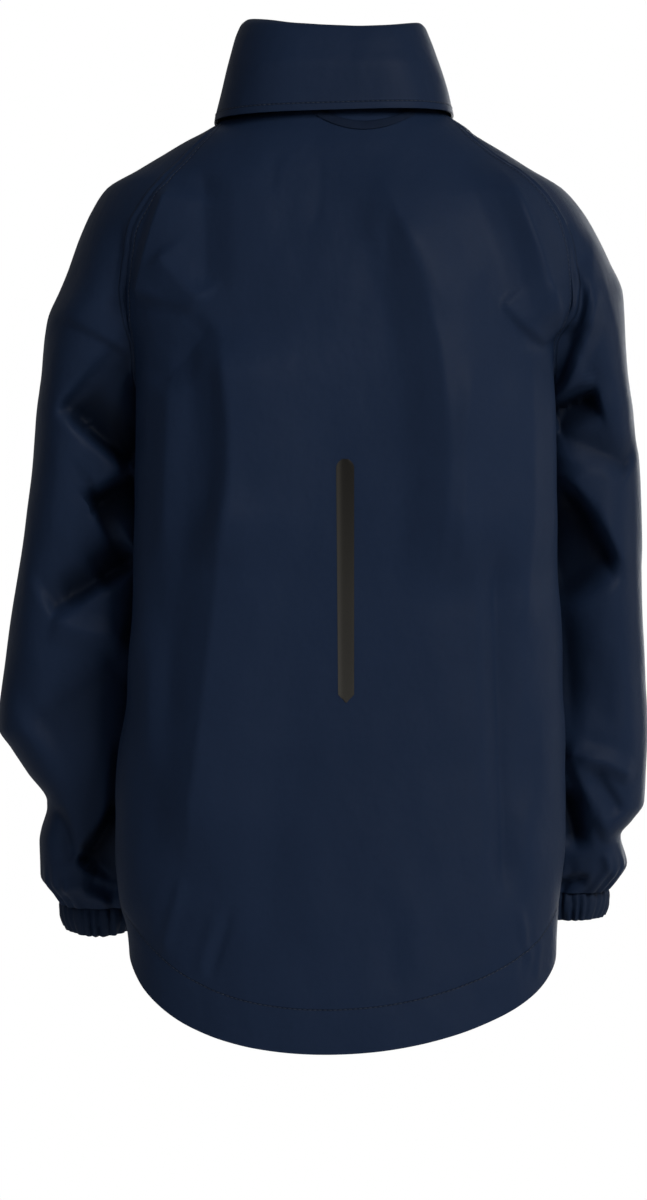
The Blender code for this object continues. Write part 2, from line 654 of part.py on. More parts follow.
# =========================================================================== coat panels
def make_panels():
    """Back, fronts and sleeves: grids first, so that seams can share their points and directions."""
    back = body_grid(left_back_seam, right_back_seam, BACK_COLUMNS)
    left_front = body_grid(left_front_edge, left_front_seam, FRONT_COLUMNS)
    right_front = body_grid(right_front_seam, right_front_edge, FRONT_COLUMNS)
    yoke = slice(LOWER_ROWS, None)
    left = sleeve_grid(1, left_front[yoke, -1], back[yoke, 0], LEFT_WRIST, LEFT_WRIST_TILT)
    right = sleeve_grid(-1, right_front[yoke, 0], back[yoke, -1], RIGHT_WRIST, RIGHT_WRIST_TILT)
    left_joined = len(left) - YOKE_ROWS
    right_joined = len(right) - YOKE_ROWS
    normals = {
        "back": outward(back, 0),
        "left_front": outward(left_front, 0),
        "right_front": outward(right_front, 0),
        "left": outward(left, left_joined),
        "right": outward(right, right_joined),
    }
    side_rows = slice(0, LOWER_ROWS + 1)
    share_direction(normals["back"][side_rows, 0], normals["left_front"][side_rows, -1])
    share_direction(normals["back"][side_rows, -1], normals["right_front"][side_rows, 0])
    raglan = slice(-YOKE_ROWS, None)
    share_direction(normals["back"][raglan, 0], normals["left"][raglan, -1])
    share_direction(normals["back"][raglan, -1], normals["right"][raglan, 0])
    share_direction(normals["left_front"][raglan, -1], normals["left"][raglan, 0])
    share_direction(normals["right_front"][raglan, 0], normals["right"][raglan, -1])
    for grid in (back, left_front, right_front):
        set_back(grid, 0, 1, 0)
        set_back(grid, -1, -2, 0)
    for grid, side, joined in ((left, 1, left_joined), (right, -1, right_joined)):
        set_back(grid, 0, 1, joined)
        set_back(grid, -1, -2, joined)
        grid[joined - 1, :, 0] += side * SEAM_GAP
    body_cloth = material("navy_body", NAVY, CLOTH_ROUGHNESS)
    sleeve_cloth = material("navy_sleeve", NAVY_SLEEVE, CLOTH_ROUGHNESS)
    add_wall("back_panel", back, normals["back"], CLOTH, body_cloth)
    add_wall("front_left", left_front, normals["left_front"], CLOTH, body_cloth)
    add_wall("front_right", right_front, normals["right_front"], CLOTH, body_cloth)
    add_wall("sleeve_left", left, normals["left"], CLOTH, sleeve_cloth, left_joined)
    add_wall("sleeve_right", right, normals["right"], CLOTH, sleeve_cloth, right_joined)


def make_cuff(name, side, wrist, tilt, length, surface):
    """Short elastic band, gathered all round, under the end of a sleeve."""
    section = SLEEVES[side]
    outer = section.at("outer", wrist)
    inner = section.at("inner", wrist)
    centre = ((outer + inner) / 2.0, section.at("middle", wrist))
    radii = ((outer - inner) / 2.0, section.at("half_depth", wrist))
    angles = np.linspace(-math.pi, math.pi, CUFF_COLUMNS + 1)
    rows = []
    for step in range(CUFF_ROWS + 1):
        share = step / CUFF_ROWS
        swell = CUFF_SWELL * math.sin(math.pi * share) - CUFF_PULL_IN * (1.0 - share) ** 2 - CUFF_SQUEEZE
        ripple = swell + CUFF_GATHER_DEPTH * np.cos(CUFF_GATHERS * angles)
        x = centre[0] + (radii[0] + ripple) * np.cos(angles)
        y = centre[1] + (radii[1] + ripple) * np.sin(angles)
        z = np.full_like(angles, wrist - CUFF_SEAM_GAP - length * (1.0 - share))
        rows.append(tilted(np.stack([x, y, z], axis=-1), side, wrist, tilt, 1.0))
    grid = mirrored(np.array(rows), side)
    grid = grid if side > 0 else grid[:, ::-1]
    joined = CUFF_ROWS + 1
    add_wall(name, grid, outward(grid, joined), CUFF_CLOTH, surface, joined)


def collar_grid():
    """Visible side of the collar, from the fall's free edge over the top and down inside to the neck."""
    end = math.radians(COLLAR_END_ANGLE)
    angles = np.linspace(-math.pi / 2.0 + end, math.pi * 1.5 - end, COLLAR_COLUMNS + 1)
    sine = np.sin(angles)
    is_back = sine > 0
    rows = []
    for place in COLLAR.places:
        side_z = COLLAR.at("side_z", place)
        lift = np.where(is_back, COLLAR.at("back_z", place), COLLAR.at("front_z", place)) - side_z
        reach = np.where(is_back, COLLAR.at("back", place), -COLLAR.at("front", place))
        wave_share = math.sin(math.pi * min(place / COLLAR_TOP_PLACE, 1.0))
        wave = COLLAR_WAVE_DEPTH * wave_share * np.sin(angles * COLLAR_WAVES)
        cosine = np.cos(angles)
        x = COLLAR.at("centre", place) * np.abs(cosine) + COLLAR.at("half_width", place) * cosine
        y = (reach + wave) * sine
        z = side_z + lift * sine**2 + COLLAR.at("lean", place) * cosine
        rows.append(np.stack([x, y, z], axis=-1))
    return np.array(rows)


def make_collar(surface):
    """Tall collar of one folded wall, open at the zip and under the fall."""
    grid = collar_grid()
    add_wall("collar", grid, outward(grid, 0), COLLAR_CLOTH, surface)


# =========================================================================== pieces on the back
def back_face_point(x, z):
    """Point and outward direction on the folded back panel at a place seen from behind."""
    across = (x - BODY.at("centre", z)) / BODY.at("half_width", z)
    angles = np.arccos(signed_power(across, BACK_SQUARENESS / 2.0))
    return body_skin(angles, z), body_outward(angles, z)


def add_patch(name, x, z, gap, thickness, surface):
    """Thin piece that lies on the back panel, made from the panel's own points moved out."""
    points, direction = back_face_point(x, z)
    grid = points + direction * (gap + thickness)
    add_wall(name, grid, direction, thickness, surface)


def make_reflective_strip(surface):
    """Bonded strip with a rounded top and a blunt point below."""
    down = np.linspace(STRIP_LENGTH, 0.0, STRIP_ROWS + 1)
    top_round = np.sqrt(np.clip(1.0 - (1.0 - down / STRIP_ROUND_TOP).clip(0.0, 1.0) ** 2, STRIP_TIP_WIDTH, 1.0))
    point = np.clip((STRIP_LENGTH - down) / STRIP_POINT, STRIP_TIP_WIDTH, 1.0)
    taper = STRIP_BOTTOM_HALF_WIDTH - STRIP_TOP_HALF_WIDTH
    half_width = (STRIP_TOP_HALF_WIDTH + taper * down / STRIP_LENGTH) * top_round * point
    middle = STRIP_TOP_X + STRIP_LEAN * down / STRIP_LENGTH
    x = middle[:, None] + half_width[:, None] * np.array([1.0, 0.0, -1.0])
    z = np.repeat((STRIP_TOP - down)[:, None], 3, axis=1)
    add_patch("reflective_strip", x, z, SEAM_GAP, STRIP_THICKNESS, surface)


def make_hanger_loop(surface):
    """Narrow tape that hangs in a shallow crescent from under the collar."""
    across = np.linspace(1.0, -1.0, LOOP_COLUMNS + 1)
    x = LOOP_MIDDLE_X + LOOP_HALF_SPAN * across
    low = LOOP_TOP - LOOP_DROP * (1.0 - across**2)
    z = np.stack([low - LOOP_TAPE, low])
    add_patch("hanger_loop", np.stack([x, x]), z, LOOP_STAND_OFF, LOOP_THICKNESS, surface)


# =========================================================================== zip
def zip_line(rows):
    """Outer face at the zip from hem to collar top, as rows of y, z and the panel's bend across."""
    heights = np.concatenate([np.linspace(SIDE_HEM + ZIP_HEM_MARGIN, UNDERARM, rows), yoke_levels()[1:]])
    angles = (left_front_edge(heights) + right_front_edge(heights)) / 2.0
    points = body_skin(angles, heights)
    stand = np.linspace(ZIP_COLLAR_START, ZIP_COLLAR_END, ZIP_COLLAR_ROWS)
    stand_y = COLLAR.at("front", stand) - COLLAR_CLOTH
    stand_bend = -stand_y / (2.0 * COLLAR.at("half_width", stand) ** 2)
    collar = np.stack([stand_y, COLLAR.at("front_z", stand), stand_bend], axis=-1)
    reach = BODY.at("widest", heights) - BODY.at("front", heights)
    bend = reach / (2.0 * BODY.at("half_width", heights) ** 2)
    return np.concatenate([np.stack([points[:, 1], points[:, 2], bend], axis=-1), collar])


def zip_outward(line):
    """Outward direction of the zip line, as rows of y and z."""
    run = np.gradient(line[:, :2], axis=0)
    direction = np.stack([-run[:, 1], run[:, 0]], axis=-1)
    return direction / np.linalg.norm(direction, axis=-1, keepdims=True)


def add_zip_band(name, half_width, shift, thickness, surface):
    """Band along the zip line; shift is how far its front face lies behind the line."""
    line = zip_line(ZIP_ROWS)
    moved = line[:, :2] - shift * zip_outward(line)
    x = np.linspace(-half_width, half_width, ZIP_COLUMNS + 1)
    y = moved[:, :1] + line[:, 2:] * x**2
    z = np.repeat(moved[:, 1:], len(x), axis=1)
    grid = np.stack([np.broadcast_to(x, y.shape), y, z], axis=-1)
    add_wall(name, grid, outward(grid, 0), thickness, surface)


def add_box(name, low, high, surface):
    """Plain box between two corners in millimetres."""
    mesh = bmesh.new()
    bmesh.ops.create_cube(mesh, size=1.0)
    size = [high[axis] - low[axis] for axis in range(3)]
    middle = [(high[axis] + low[axis]) / 2.0 for axis in range(3)]
    bmesh.ops.scale(mesh, vec=size, verts=mesh.verts)
    bmesh.ops.translate(mesh, vec=middle, verts=mesh.verts)
    bmesh.ops.scale(mesh, vec=(MM, MM, MM), verts=mesh.verts)
    data = bpy.data.meshes.new(name)
    mesh.to_mesh(data)
    mesh.free()
    data.materials.append(surface)
    made = bpy.data.objects.new(name, data)
    bpy.context.scene.collection.objects.link(made)
    return made


def add_rod(name, radius, half_length, sides, surface):
    """Rod along X about its own origin."""
    mesh = bmesh.new()
    turn = Matrix.Rotation(math.radians(90.0), 4, "Y")
    bmesh.ops.create_cone(
        mesh, cap_ends=True, segments=sides, radius1=radius * MM, radius2=radius * MM,
        depth=half_length * 2.0 * MM, matrix=turn,
    )
    data = bpy.data.meshes.new(name)
    mesh.to_mesh(data)
    mesh.free()
    data.materials.append(surface)
    made = bpy.data.objects.new(name, data)
    bpy.context.scene.collection.objects.link(made)
    return made


def combine(target, other, operation):
    """Boolean of two objects; the other one stays as a hidden guide."""
    modifier = target.modifiers.new(other.name, "BOOLEAN")
    modifier.operation = operation
    modifier.object = other
    other.hide_render = True
    other.display_type = "WIRE"


def make_zip(tape_surface, metal):
    """Closed zip: tape behind the fronts, chain between them, slider at the top, pull tab and box."""
    add_zip_band("zip_tape", TAPE_HALF_WIDTH, CLOTH + TAPE_STAND_OFF, TAPE_THICKNESS, tape_surface)
    chain_shift = CLOTH + SEAM_GAP - CHAIN_THICKNESS
    add_zip_band("zip_chain", CHAIN_HALF_WIDTH, chain_shift, CHAIN_THICKNESS, metal)
    line = zip_line(ZIP_ROWS)
    top_face = line[-1, 0] + chain_shift - SEAM_GAP
    bottom_face = line[0, 0] - SEAM_GAP
    low = (-BOX_HALF_WIDTH, bottom_face - BOX_THICKNESS, line[0, 1])
    high = (BOX_HALF_WIDTH, bottom_face, line[0, 1] + BOX_HEIGHT)
    add_box("zip_box", low, high, metal)
    slider_face = top_face - SLIDER_THICKNESS
    low = (-SLIDER_HALF_WIDTH, slider_face, SLIDER_TOP - SLIDER_LENGTH)
    slider = add_box("zip_slider", low, (SLIDER_HALF_WIDTH, top_face, SLIDER_TOP), metal)
    hinge_y = slider_face - KNUCKLE_RADIUS - SEAM_GAP
    hinge_z = SLIDER_TOP - SLIDER_LENGTH / 2.0
    for side, name in ((1, "slider_lug_left"), (-1, "slider_lug_right")):
        near = side * LUG_HALF_GAP
        far = side * (LUG_HALF_GAP + LUG_WIDTH)
        lug_low = (min(near, far), slider_face - LUG_DEPTH, hinge_z - LUG_HEIGHT / 2.0)
        lug_high = (max(near, far), slider_face + LUG_ROOT, hinge_z + LUG_HEIGHT / 2.0)
        combine(slider, add_box(name, lug_low, lug_high, metal), "UNION")
    pin = add_rod("slider_pin", PIN_RADIUS, LUG_HALF_GAP + LUG_WIDTH / 2.0, PIN_SIDES, metal)
    pin.location = Vector((0.0, hinge_y, hinge_z)) * MM
    combine(slider, pin, "UNION")
    make_pull_tab(Vector((0.0, hinge_y, hinge_z)), metal)


def make_pull_tab(hinge, metal):
    """Pull tab: a knuckle round the slider's pin, a narrow neck and a plate; its origin is the hinge."""
    knuckle_half = LUG_HALF_GAP - SEAM_GAP
    tab = add_rod("zip_pull_tab", KNUCKLE_RADIUS, knuckle_half, PIN_SIDES, metal)
    face = -KNUCKLE_RADIUS
    neck_low = (-TAB_NECK_HALF_WIDTH, face, -TAB_NECK_LENGTH)
    neck = add_box("tab_neck", neck_low, (TAB_NECK_HALF_WIDTH, face + TAB_THICKNESS, TAB_NECK_TOP), metal)
    plate_low = (-TAB_HALF_WIDTH, face, -TAB_LENGTH)
    plate_high = (TAB_HALF_WIDTH, face + TAB_THICKNESS, TAB_PLATE_OVERLAP - TAB_NECK_LENGTH)
    plate = add_box("tab_plate", plate_low, plate_high, metal)
    bore = add_rod("tab_bore", KNUCKLE_BORE, knuckle_half * 2.0, PIN_SIDES, metal)
    for piece in (tab, neck, plate, bore):
        piece.location = hinge * MM
    combine(tab, neck, "UNION")
    combine(tab, plate, "UNION")
    combine(tab, bore, "DIFFERENCE")


def main():
    """Build every piece of the coat."""
    clear_scene()
    make_panels()
    trim = material("navy_trim", NAVY_TRIM, TRIM_ROUGHNESS)
    make_cuff("cuff_left", 1, LEFT_WRIST, LEFT_WRIST_TILT, LEFT_CUFF_LENGTH, trim)
    make_cuff("cuff_right", -1, RIGHT_WRIST, RIGHT_WRIST_TILT, RIGHT_CUFF_LENGTH, trim)
    make_collar(material("navy_collar", NAVY, CLOTH_ROUGHNESS))
    make_reflective_strip(material("reflective_grey", STRIP_GREY, STRIP_ROUGHNESS))
    make_hanger_loop(trim)
    tape = material("zip_tape_navy", ZIP_TAPE_NAVY, TAPE_ROUGHNESS)
    make_zip(tape, material("zip_metal", ZIP_METAL, METAL_ROUGHNESS, METAL_SHARE))


main()
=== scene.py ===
"""Looks of the child's raincoat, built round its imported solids.

Frame as in the solids: +Z up, the front (zip) faces -Y, the back faces +Y, and the coat's left side is +X.
Sizes are in millimetres and degrees; meshes are made in metres.
"""

import math

import bmesh
import bpy
import numpy as np
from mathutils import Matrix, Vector


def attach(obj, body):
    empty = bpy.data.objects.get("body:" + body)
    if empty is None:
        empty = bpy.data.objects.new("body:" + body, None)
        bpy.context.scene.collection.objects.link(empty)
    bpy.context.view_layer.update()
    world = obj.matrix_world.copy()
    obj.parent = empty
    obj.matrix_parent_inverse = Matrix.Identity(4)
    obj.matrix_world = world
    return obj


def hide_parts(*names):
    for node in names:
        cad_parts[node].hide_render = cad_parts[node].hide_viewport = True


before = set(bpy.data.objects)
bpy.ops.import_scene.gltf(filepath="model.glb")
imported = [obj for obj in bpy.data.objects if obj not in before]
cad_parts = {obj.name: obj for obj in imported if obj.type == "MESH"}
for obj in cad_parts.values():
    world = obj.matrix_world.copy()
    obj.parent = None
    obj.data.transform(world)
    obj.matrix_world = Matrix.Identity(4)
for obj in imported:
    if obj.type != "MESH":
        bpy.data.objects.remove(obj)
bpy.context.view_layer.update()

MM = 0.001
MM_PER_CM = 10.0
TINY = 1e-9

# ------------------------------------------------------------------------- cloth
CLOTH = 1.0
COLLAR_CLOTH = 1.4
CUFF_CLOTH = 1.8
HEM_EXTRA = 0.9
SMOOTH_ANGLE = 60.0
# cosine of the angle between two panels, above which their seam edges share one direction
SEAM_SHARE_LIMIT = 0.3

# ------------------------------------------------------------------------- main heights
NECK = 10.0
UNDERARM = -200.0
BACK_HEM = -636.0
SIDE_HEM = -571.0
HEM_LEAN = 0.1
BACK_NECK_RISE = 2.0
FRONT_NECK_DROP = 35.0
NECK_RISE_CURVE = 2.0

# ------------------------------------------------------------------------- grid sizes
LOWER_ROWS = 116
YOKE_ROWS = 92
YOKE_SPREAD = 1.25
BACK_COLUMNS = 228
FRONT_COLUMNS = 46
SLEEVE_COLUMNS = 186
TUBE_ROWS = 156
EDGE_CROWDING = 0.35

# ------------------------------------------------------------------------- body
BACK_SQUARENESS = 2.3
FRONT_SQUARENESS = 2.0
FRONT_EDGE_X = 2.6
SIDE_FOLD_FADE = 0.35
BODY_COLUMNS = (
    "height", "centre", "half_width", "widest", "back", "front", "left_seam", "right_seam", "front_seam",
)
BODY_SECTIONS = (
    (10, 0.0, 70.0, 3, 66.0, -60.0, 24.0, 24.0, -48.0),
    (5, 0.0, 79.0, 2, 70.5, -64.0, 24.5, 24.5, -46.0),
    (-1.5, 0.5, 89.5, 1, 74.5, -68.0, 26.0, 25.5, -45.0),
    (-6.5, 1.0, 99.0, 0, 77.5, -71.5, 31.5, 29.5, -45.0),
    (-11, 2.0, 107.0, 0, 80.5, -75.0, 36.0, 32.0, -45.0),
    (-21.7, 2.5, 125.5, 0, 86.5, -82.0, 40.5, 35.0, -45.0),
    (-30, 3.0, 139.0, 0, 90.0, -86.0, 43.0, 37.0, -45.0),
    (-42, 4.0, 158.0, 0, 94.5, -91.0, 45.0, 39.5, -44.0),
    (-57, 2.5, 168.5, 0, 99.5, -96.0, 42.0, 36.0, -43.0),
    (-72, 0.0, 171.5, 2, 103.0, -101.0, 36.5, 32.5, -42.0),
    (-94.5, -1.0, 166.0, 8, 108.0, -106.0, 29.5, 26.5, -41.0),
    (-115, -1.0, 161.0, 15, 111.0, -109.5, 24.5, 24.0, -40.0),
    (-138, -0.5, 153.0, 24, 113.5, -112.5, 16.5, 20.5, -37.0),
    (-155, -1.5, 146.5, 31, 114.5, -114.0, 8.0, 10.0, -33.0),
    (-175, -2.2, 144.3, 38, 115.5, -115.5, -4.0, -3.0, -27.0),
    (-200, -2.8, 144.1, 45, 116.0, -117.0, -17.0, -17.0, -17.0),
    (-250, -3.5, 144.8, 45, 115.0, -118.0, -17.0, -17.0, -17.0),
    (-312, -4.4, 145.8, 45, 113.0, -118.0, -17.0, -17.0, -17.0),
    (-358, -4.1, 148.2, 45, 112.0, -118.5, -17.0, -17.0, -17.0),
    (-399, -3.4, 150.3, 45, 112.0, -119.0, -17.0, -17.0, -17.0),
    (-437, -1.4, 154.3, 45, 113.0, -119.0, -17.0, -17.0, -17.0),
    (-473, -0.5, 155.9, 45, 114.0, -119.5, -17.0, -17.0, -17.0),
    (-502, -0.4, 155.8, 45, 115.5, -120.0, -17.0, -17.0, -17.0),
    (-537, 0.5, 152.4, 44, 117.0, -120.0, -17.0, -17.0, -17.0),
    (-556, -1.5, 148.9, 43, 118.0, -120.5, -17.0, -17.0, -17.0),
    (-575, -2.4, 147.4, 42, 119.0, -121.0, -17.0, -17.0, -17.0),
    (-634, -2.4, 145.0, 40, 122.0, -122.0, -17.0, -17.0, -17.0),
)

SLEEVE_COLUMN_NAMES = ("height", "outer", "inner", "middle", "half_depth")
LEFT_SLEEVE = (
    (10, 70.0, -70.0, 3, 63.0),
    (5, 79.0, -79.0, 2, 67.0),
    (-1.5, 90.0, -89.0, 1, 71.0),
    (-6.5, 100.0, -98.0, 0, 74.0),
    (-11, 110.0, -106.0, 0, 77.0),
    (-21.7, 129.0, -124.0, 0, 84.0),
    (-30, 143.0, -120.0, 0, 87.0),
    (-42, 163.5, -100.0, 0, 88.0),
    (-57, 173.0, -55.0, -1, 84.0),
    (-72, 179.5, 5.0, -3, 79.0),
    (-94.5, 188.5, 62.0, -6, 75.0),
    (-115, 197.0, 92.0, -9, 73.5),
    (-134, 205.0, 109.0, -13, 72.5),
    (-155, 208.5, 120.0, -19, 72.0),
    (-175, 210.5, 129.0, -24, 71.5),
    (-200, 213.0, 135.5, -28, 70.0),
    (-222, 215.0, 136.0, -31, 69.0),
    (-274, 221.5, 134.5, -35, 67.0),
    (-313, 227.5, 135.0, -38, 65.0),
    (-394, 238.8, 138.0, -42, 62.0),
    (-420, 241.0, 139.5, -43, 61.0),
    (-435, 231.6, 140.0, -44, 60.0),
    (-451, 220.5, 140.0, -46, 58.0),
    (-471, 206.5, 140.0, -48, 55.0),
    (-500, 212.2, 140.0, -51, 50.0),
    (-521, 211.6, 142.0, -53, 45.0),
    (-533, 203.5, 142.0, -54, 39.0),
    (-540, 199.0, 142.5, -54, 35.0),
)
RIGHT_SLEEVE = (
    (10, 70.0, -70.0, 3, 63.0),
    (5, 79.0, -79.0, 2, 67.0),
    (-1.5, 90.0, -90.0, 1, 71.0),
    (-6.5, 95.5, -100.0, 0, 74.0),
    (-11, 103.5, -110.0, 0, 77.0),
    (-21.7, 121.5, -129.0, 0, 84.0),
    (-30, 134.5, -120.0, 0, 87.0),
    (-42, 155.0, -100.0, 0, 88.0),
    (-57, 168.0, -55.0, -1, 84.0),
    (-72, 177.0, 5.0, -3, 79.0),
    (-94.5, 188.5, 62.0, -6, 75.0),
    (-115, 197.5, 92.0, -9, 73.5),
    (-134, 199.5, 111.0, -13, 72.5),
    (-155, 200.5, 126.0, -19, 72.0),
    (-175, 202.0, 135.0, -24, 71.5),
    (-200, 206.0, 141.0, -28, 70.0),
    (-222, 209.5, 141.0, -31, 69.0),
    (-265, 212.5, 140.0, -35, 67.0),
    (-327, 213.8, 139.5, -38, 65.0),
    (-391, 216.6, 140.0, -42, 62.0),
    (-420, 217.8, 140.5, -43, 61.0),
    (-450, 216.8, 141.0, -45, 58.0),
    (-472, 215.5, 141.0, -47, 55.0),
    (-484, 207.0, 141.5, -48, 53.0),
    (-494, 198.8, 142.0, -49, 51.0),
    (-515, 203.8, 143.0, -51, 46.0),
    (-526, 197.6, 140.0, -52, 41.0),
    (-534, 191.3, 138.0, -53, 35.0),
)

# ------------------------------------------------------------------------- collar
COLLAR_END_ANGLE = 5.7
COLLAR_COLUMNS = 200
COLLAR_ROWS = 60
COLLAR_SQUARENESS = 3.0
COLLAR_TOP_PLACE = 6
COLLAR_WAVES = 7
COLLAR_WAVE_DEPTH = 0.5
COLLAR_CRUMPLE = 0.8
COLLAR_CRUMPLE_START = 12.0
COLLAR_ROLL = 0.3
COLLAR_ROLL_PLACE = 2.2
COLLAR_ROLL_WIDTH = 1.8
COLLAR_COLUMN_NAMES = (
    "place", "centre", "half_width", "back", "front", "side_z", "lean", "back_z", "front_z",
)
COLLAR_SECTIONS = (
    (0, 4.3, 83.5, 80.5, -70.0, 4.6, -2.4, 4.0, -19.0),
    (1, 4.1, 79.8, 80.5, -69.0, 21.0, -1.0, 20.0, -1.0),
    (2, 4.3, 75.6, 80.5, -68.0, 36.5, 0.0, 33.5, 16.0),
    (3, 4.6, 71.2, 76.5, -67.0, 50.0, 0.5, 46.5, 31.0),
    (4, 4.9, 67.3, 72.5, -66.0, 61.0, 1.0, 56.5, 41.0),
    (5, 4.6, 63.8, 69.0, -65.0, 68.5, 1.3, 62.0, 47.5),
    (6, 4.2, 60.5, 65.5, -62.5, 71.0, 1.3, 63.5, 50.0),
    (7, 3.8, 57.6, 62.0, -60.0, 69.0, 1.3, 61.0, 48.0),
    (8, 3.4, 56.4, 60.0, -58.8, 63.0, 1.0, 55.0, 42.0),
    (9, 1.8, 60.5, 60.5, -58.2, 38.0, 0.5, 35.0, 10.0),
    (10, 0.0, 67.0, 62.5, -58.2, 11.4, 0.0, 13.4, -23.4),
)

# ------------------------------------------------------------------------- sleeves and wrists
LEFT_WRIST = -540.0
RIGHT_WRIST = -534.0
LEFT_WRIST_TILT = 0.22
RIGHT_WRIST_TILT = 0.08
WRIST_TILT_REACH = 120.0
SEAM_REACH = 0.4
SLEEVE_SQUARENESS = 3.0
YOKE_BLEND = 100.0
UNDERSEAM_DROP = 80.0
WRIST_GATHERS = 17
WRIST_GATHER_DEPTH = 1.7
WRIST_GATHER_REACH = 36.0
WRIST_GATHER_DRIFT = ((1.3, 3.0, 0.0),)
WRIST_GATHER_FADE = 0.25
WRIST_GATHER_FADE_TURNS = 5.0
SEAM_FOLD_FADE = 0.05
SEAM_FOLD_DROP = 50.0
INNER_FADE_POWER = 0.35
OUTER_FADE_POWER = 0.5
CREASE_SIDEWAYS = 0.12

# ------------------------------------------------------------------------- cuffs
LEFT_CUFF_LENGTH = 21.0
RIGHT_CUFF_LENGTH = 20.0
CUFF_COLUMNS = 252
CUFF_ROWS = 12
CUFF_GATHERS = 21
CUFF_GATHER_DEPTH = 1.5
CUFF_DRIFT = ((1.2, 3.0, 1.0), (0.8, 5.0, 0.0))
CUFF_RIDGE = 2.0
CUFF_RIDGE_SOFTNESS = 0.02
CUFF_RIDGE_SINK = 1.1
CUFF_SMALL_DEPTH = 0.25
CUFF_SMALL_PACE = 1.7
CUFF_SMALL_SLANT = 4.0
CUFF_SMALL_START = 2.0
CUFF_EVEN_SHARE = 0.8
CUFF_UNEVEN = ((0.3, 4.0, 0.7),)
CUFF_WAIST = 0.35
CUFF_WAIST_WIDTH = 0.12
CUFF_SWELL = 1.6
CUFF_PULL_IN = 3.0
CUFF_SQUEEZE = 0.8
CUFF_OVERLAP = 1.5
CUFF_TUCK = 1.4
CUFF_TUCK_POWER = 6
CUFF_TUCK_CALM = 0.6

# ------------------------------------------------------------------------- the eye that sees the back
EYE_X = 11.55
EYE_Y = 3000.0
EYE_Z = -330.4
PIXEL = 0.7
FRAME_HEIGHT = 1200
SENSOR = 36.0

# ------------------------------------------------------------------------- unevenness of worn cloth
CRUMPLE_SEED = 7
CRUMPLE_WAVES = 16
CRUMPLE_LONGEST = 150.0
CRUMPLE_SHRINK = 0.88
CRUMPLE_DEPTH = 0.55
CRUMPLE_POWER = 1.25
CRUMPLE_UPRIGHT = 0.4

# ------------------------------------------------------------------------- creases, seen square on
# A crease runs from its start to its end and bows sideways by "bow" in its middle. It has one width on
# either side of its crest, the crest is rounded over "round" millimetres, and its height fades to nothing
# over the share "ends" of its length at both ends. A height below zero makes a trough.
CREASE_COLUMNS = (
    "start_x", "start_z", "end_x", "end_z", "bow", "low_width", "high_width", "height", "round", "ends",
)
FOOT_SOFTNESS = 0.22
BACK_CREASES = (
    # the left half's yoke, from the raglan seam to the shoulder blade
    (118, -38, 141, -124, -3, 8, 35, 6.5, 0.6, 0.12),
    (97, -21, 95, -123, 0, 25, 21, -4.6, 0.8, 0.2),
    (126, -85, 93, -123, -3, 15, 18, 4, 0.6, 0.15),
    (90, -134, 133, -182, 3.5, 21, 15, -3, 0.8, 0.2),
    # the long fold down the left half
    (87, -129, 83, -316, 10.5, 24, 60, 13, 0.6, 0.25),
    (88, -141, 94, -302, 1.5, 10, 10, -1.6, 1, 0.3),
    (77, -239, 110, -535, 2, 27, 56, 9.5, 1, 0.22),
    # two small folds under the collar
    (43, -13, 49, -49, 0, 10, 4, -0.7, 1.2, 0.3),
    (15, -13, 21, -76, 4, 11, 4, -0.9, 1, 0.3),
    # the broad bowed fold right of the middle
    (-18, -13, -64, -339, 29, 28, 105, 14, 1, 0.2),
    (-36, -50, -74, -141, 4, 8, 28, 1.8, 1, 0.3),
    (-31, -57, -36, -113, 0, 7, 11, -1.2, 1, 0.3),
    # the wedge at the right end of the yoke
    (-103, -17, -141, -155, 6, 21, 42, 15, 0.5, 0.2),
    (-108, -35, -134, -139, 5, 8, 21, 4.5, 0.5, 0.2),
    (-108, -119, -142, -153, -3.5, 3, 24, 3.4, 0.6, 0.15),
    (-132, -108, -143, -147, 2, 3.5, 8, 1.6, 0.6, 0.2),
    # a short crease beside the strip
    (-59, -245, -24, -284, -1.5, 2, 3, -0.9, 0.8, 0.22),
    # upright folds below the armholes
    (-86, -152, -82, -323, 0, 8, 14, 2.4, 1, 0.2),
    (-129, -152, -132, -358, 0, 18, 11, 2.8, 0.8, 0.15),
    (118, -152, 123, -313, 0, 10, 13, 2.8, 1.5, 0.3),
    (-109, -281, -117, -551, 0, 14, 15, -6, 0.6, 0.15),
    (133, -330, 132, -470, 0, 10, 11, 2, 3, 0.3),
    (-132, -400, -129, -491, 0, 8, 8, -1.6, 3, 0.3),
    # puckers and soft folds above the hem
    (45, -428, 49, -593, 0, 18, 22, -1.8, 4, 0.3),
    (-32, -526, -42, -617, 0, 17, 14, -1.8, 3, 0.3),
    (74, -542, 94, -602, 0, 6, 3, -1.6, 0.8, 0.25),
    (85, -544, 101, -598, 0, 5, 6, 1.1, 1, 0.25),
    (109, -521, 126, -584, 0, 5, 6, 1.8, 1, 0.25),
    (-124, -542, -134, -588, 0, 3, 3.5, 1.6, 0.7, 0.25),
    (-141, -565, -137, -598, 0, 3, 3, 1.3, 0.7, 0.25),
    (-134, -561, -126, -593, 0, 3, 3, -1.2, 0.7, 0.25),
)
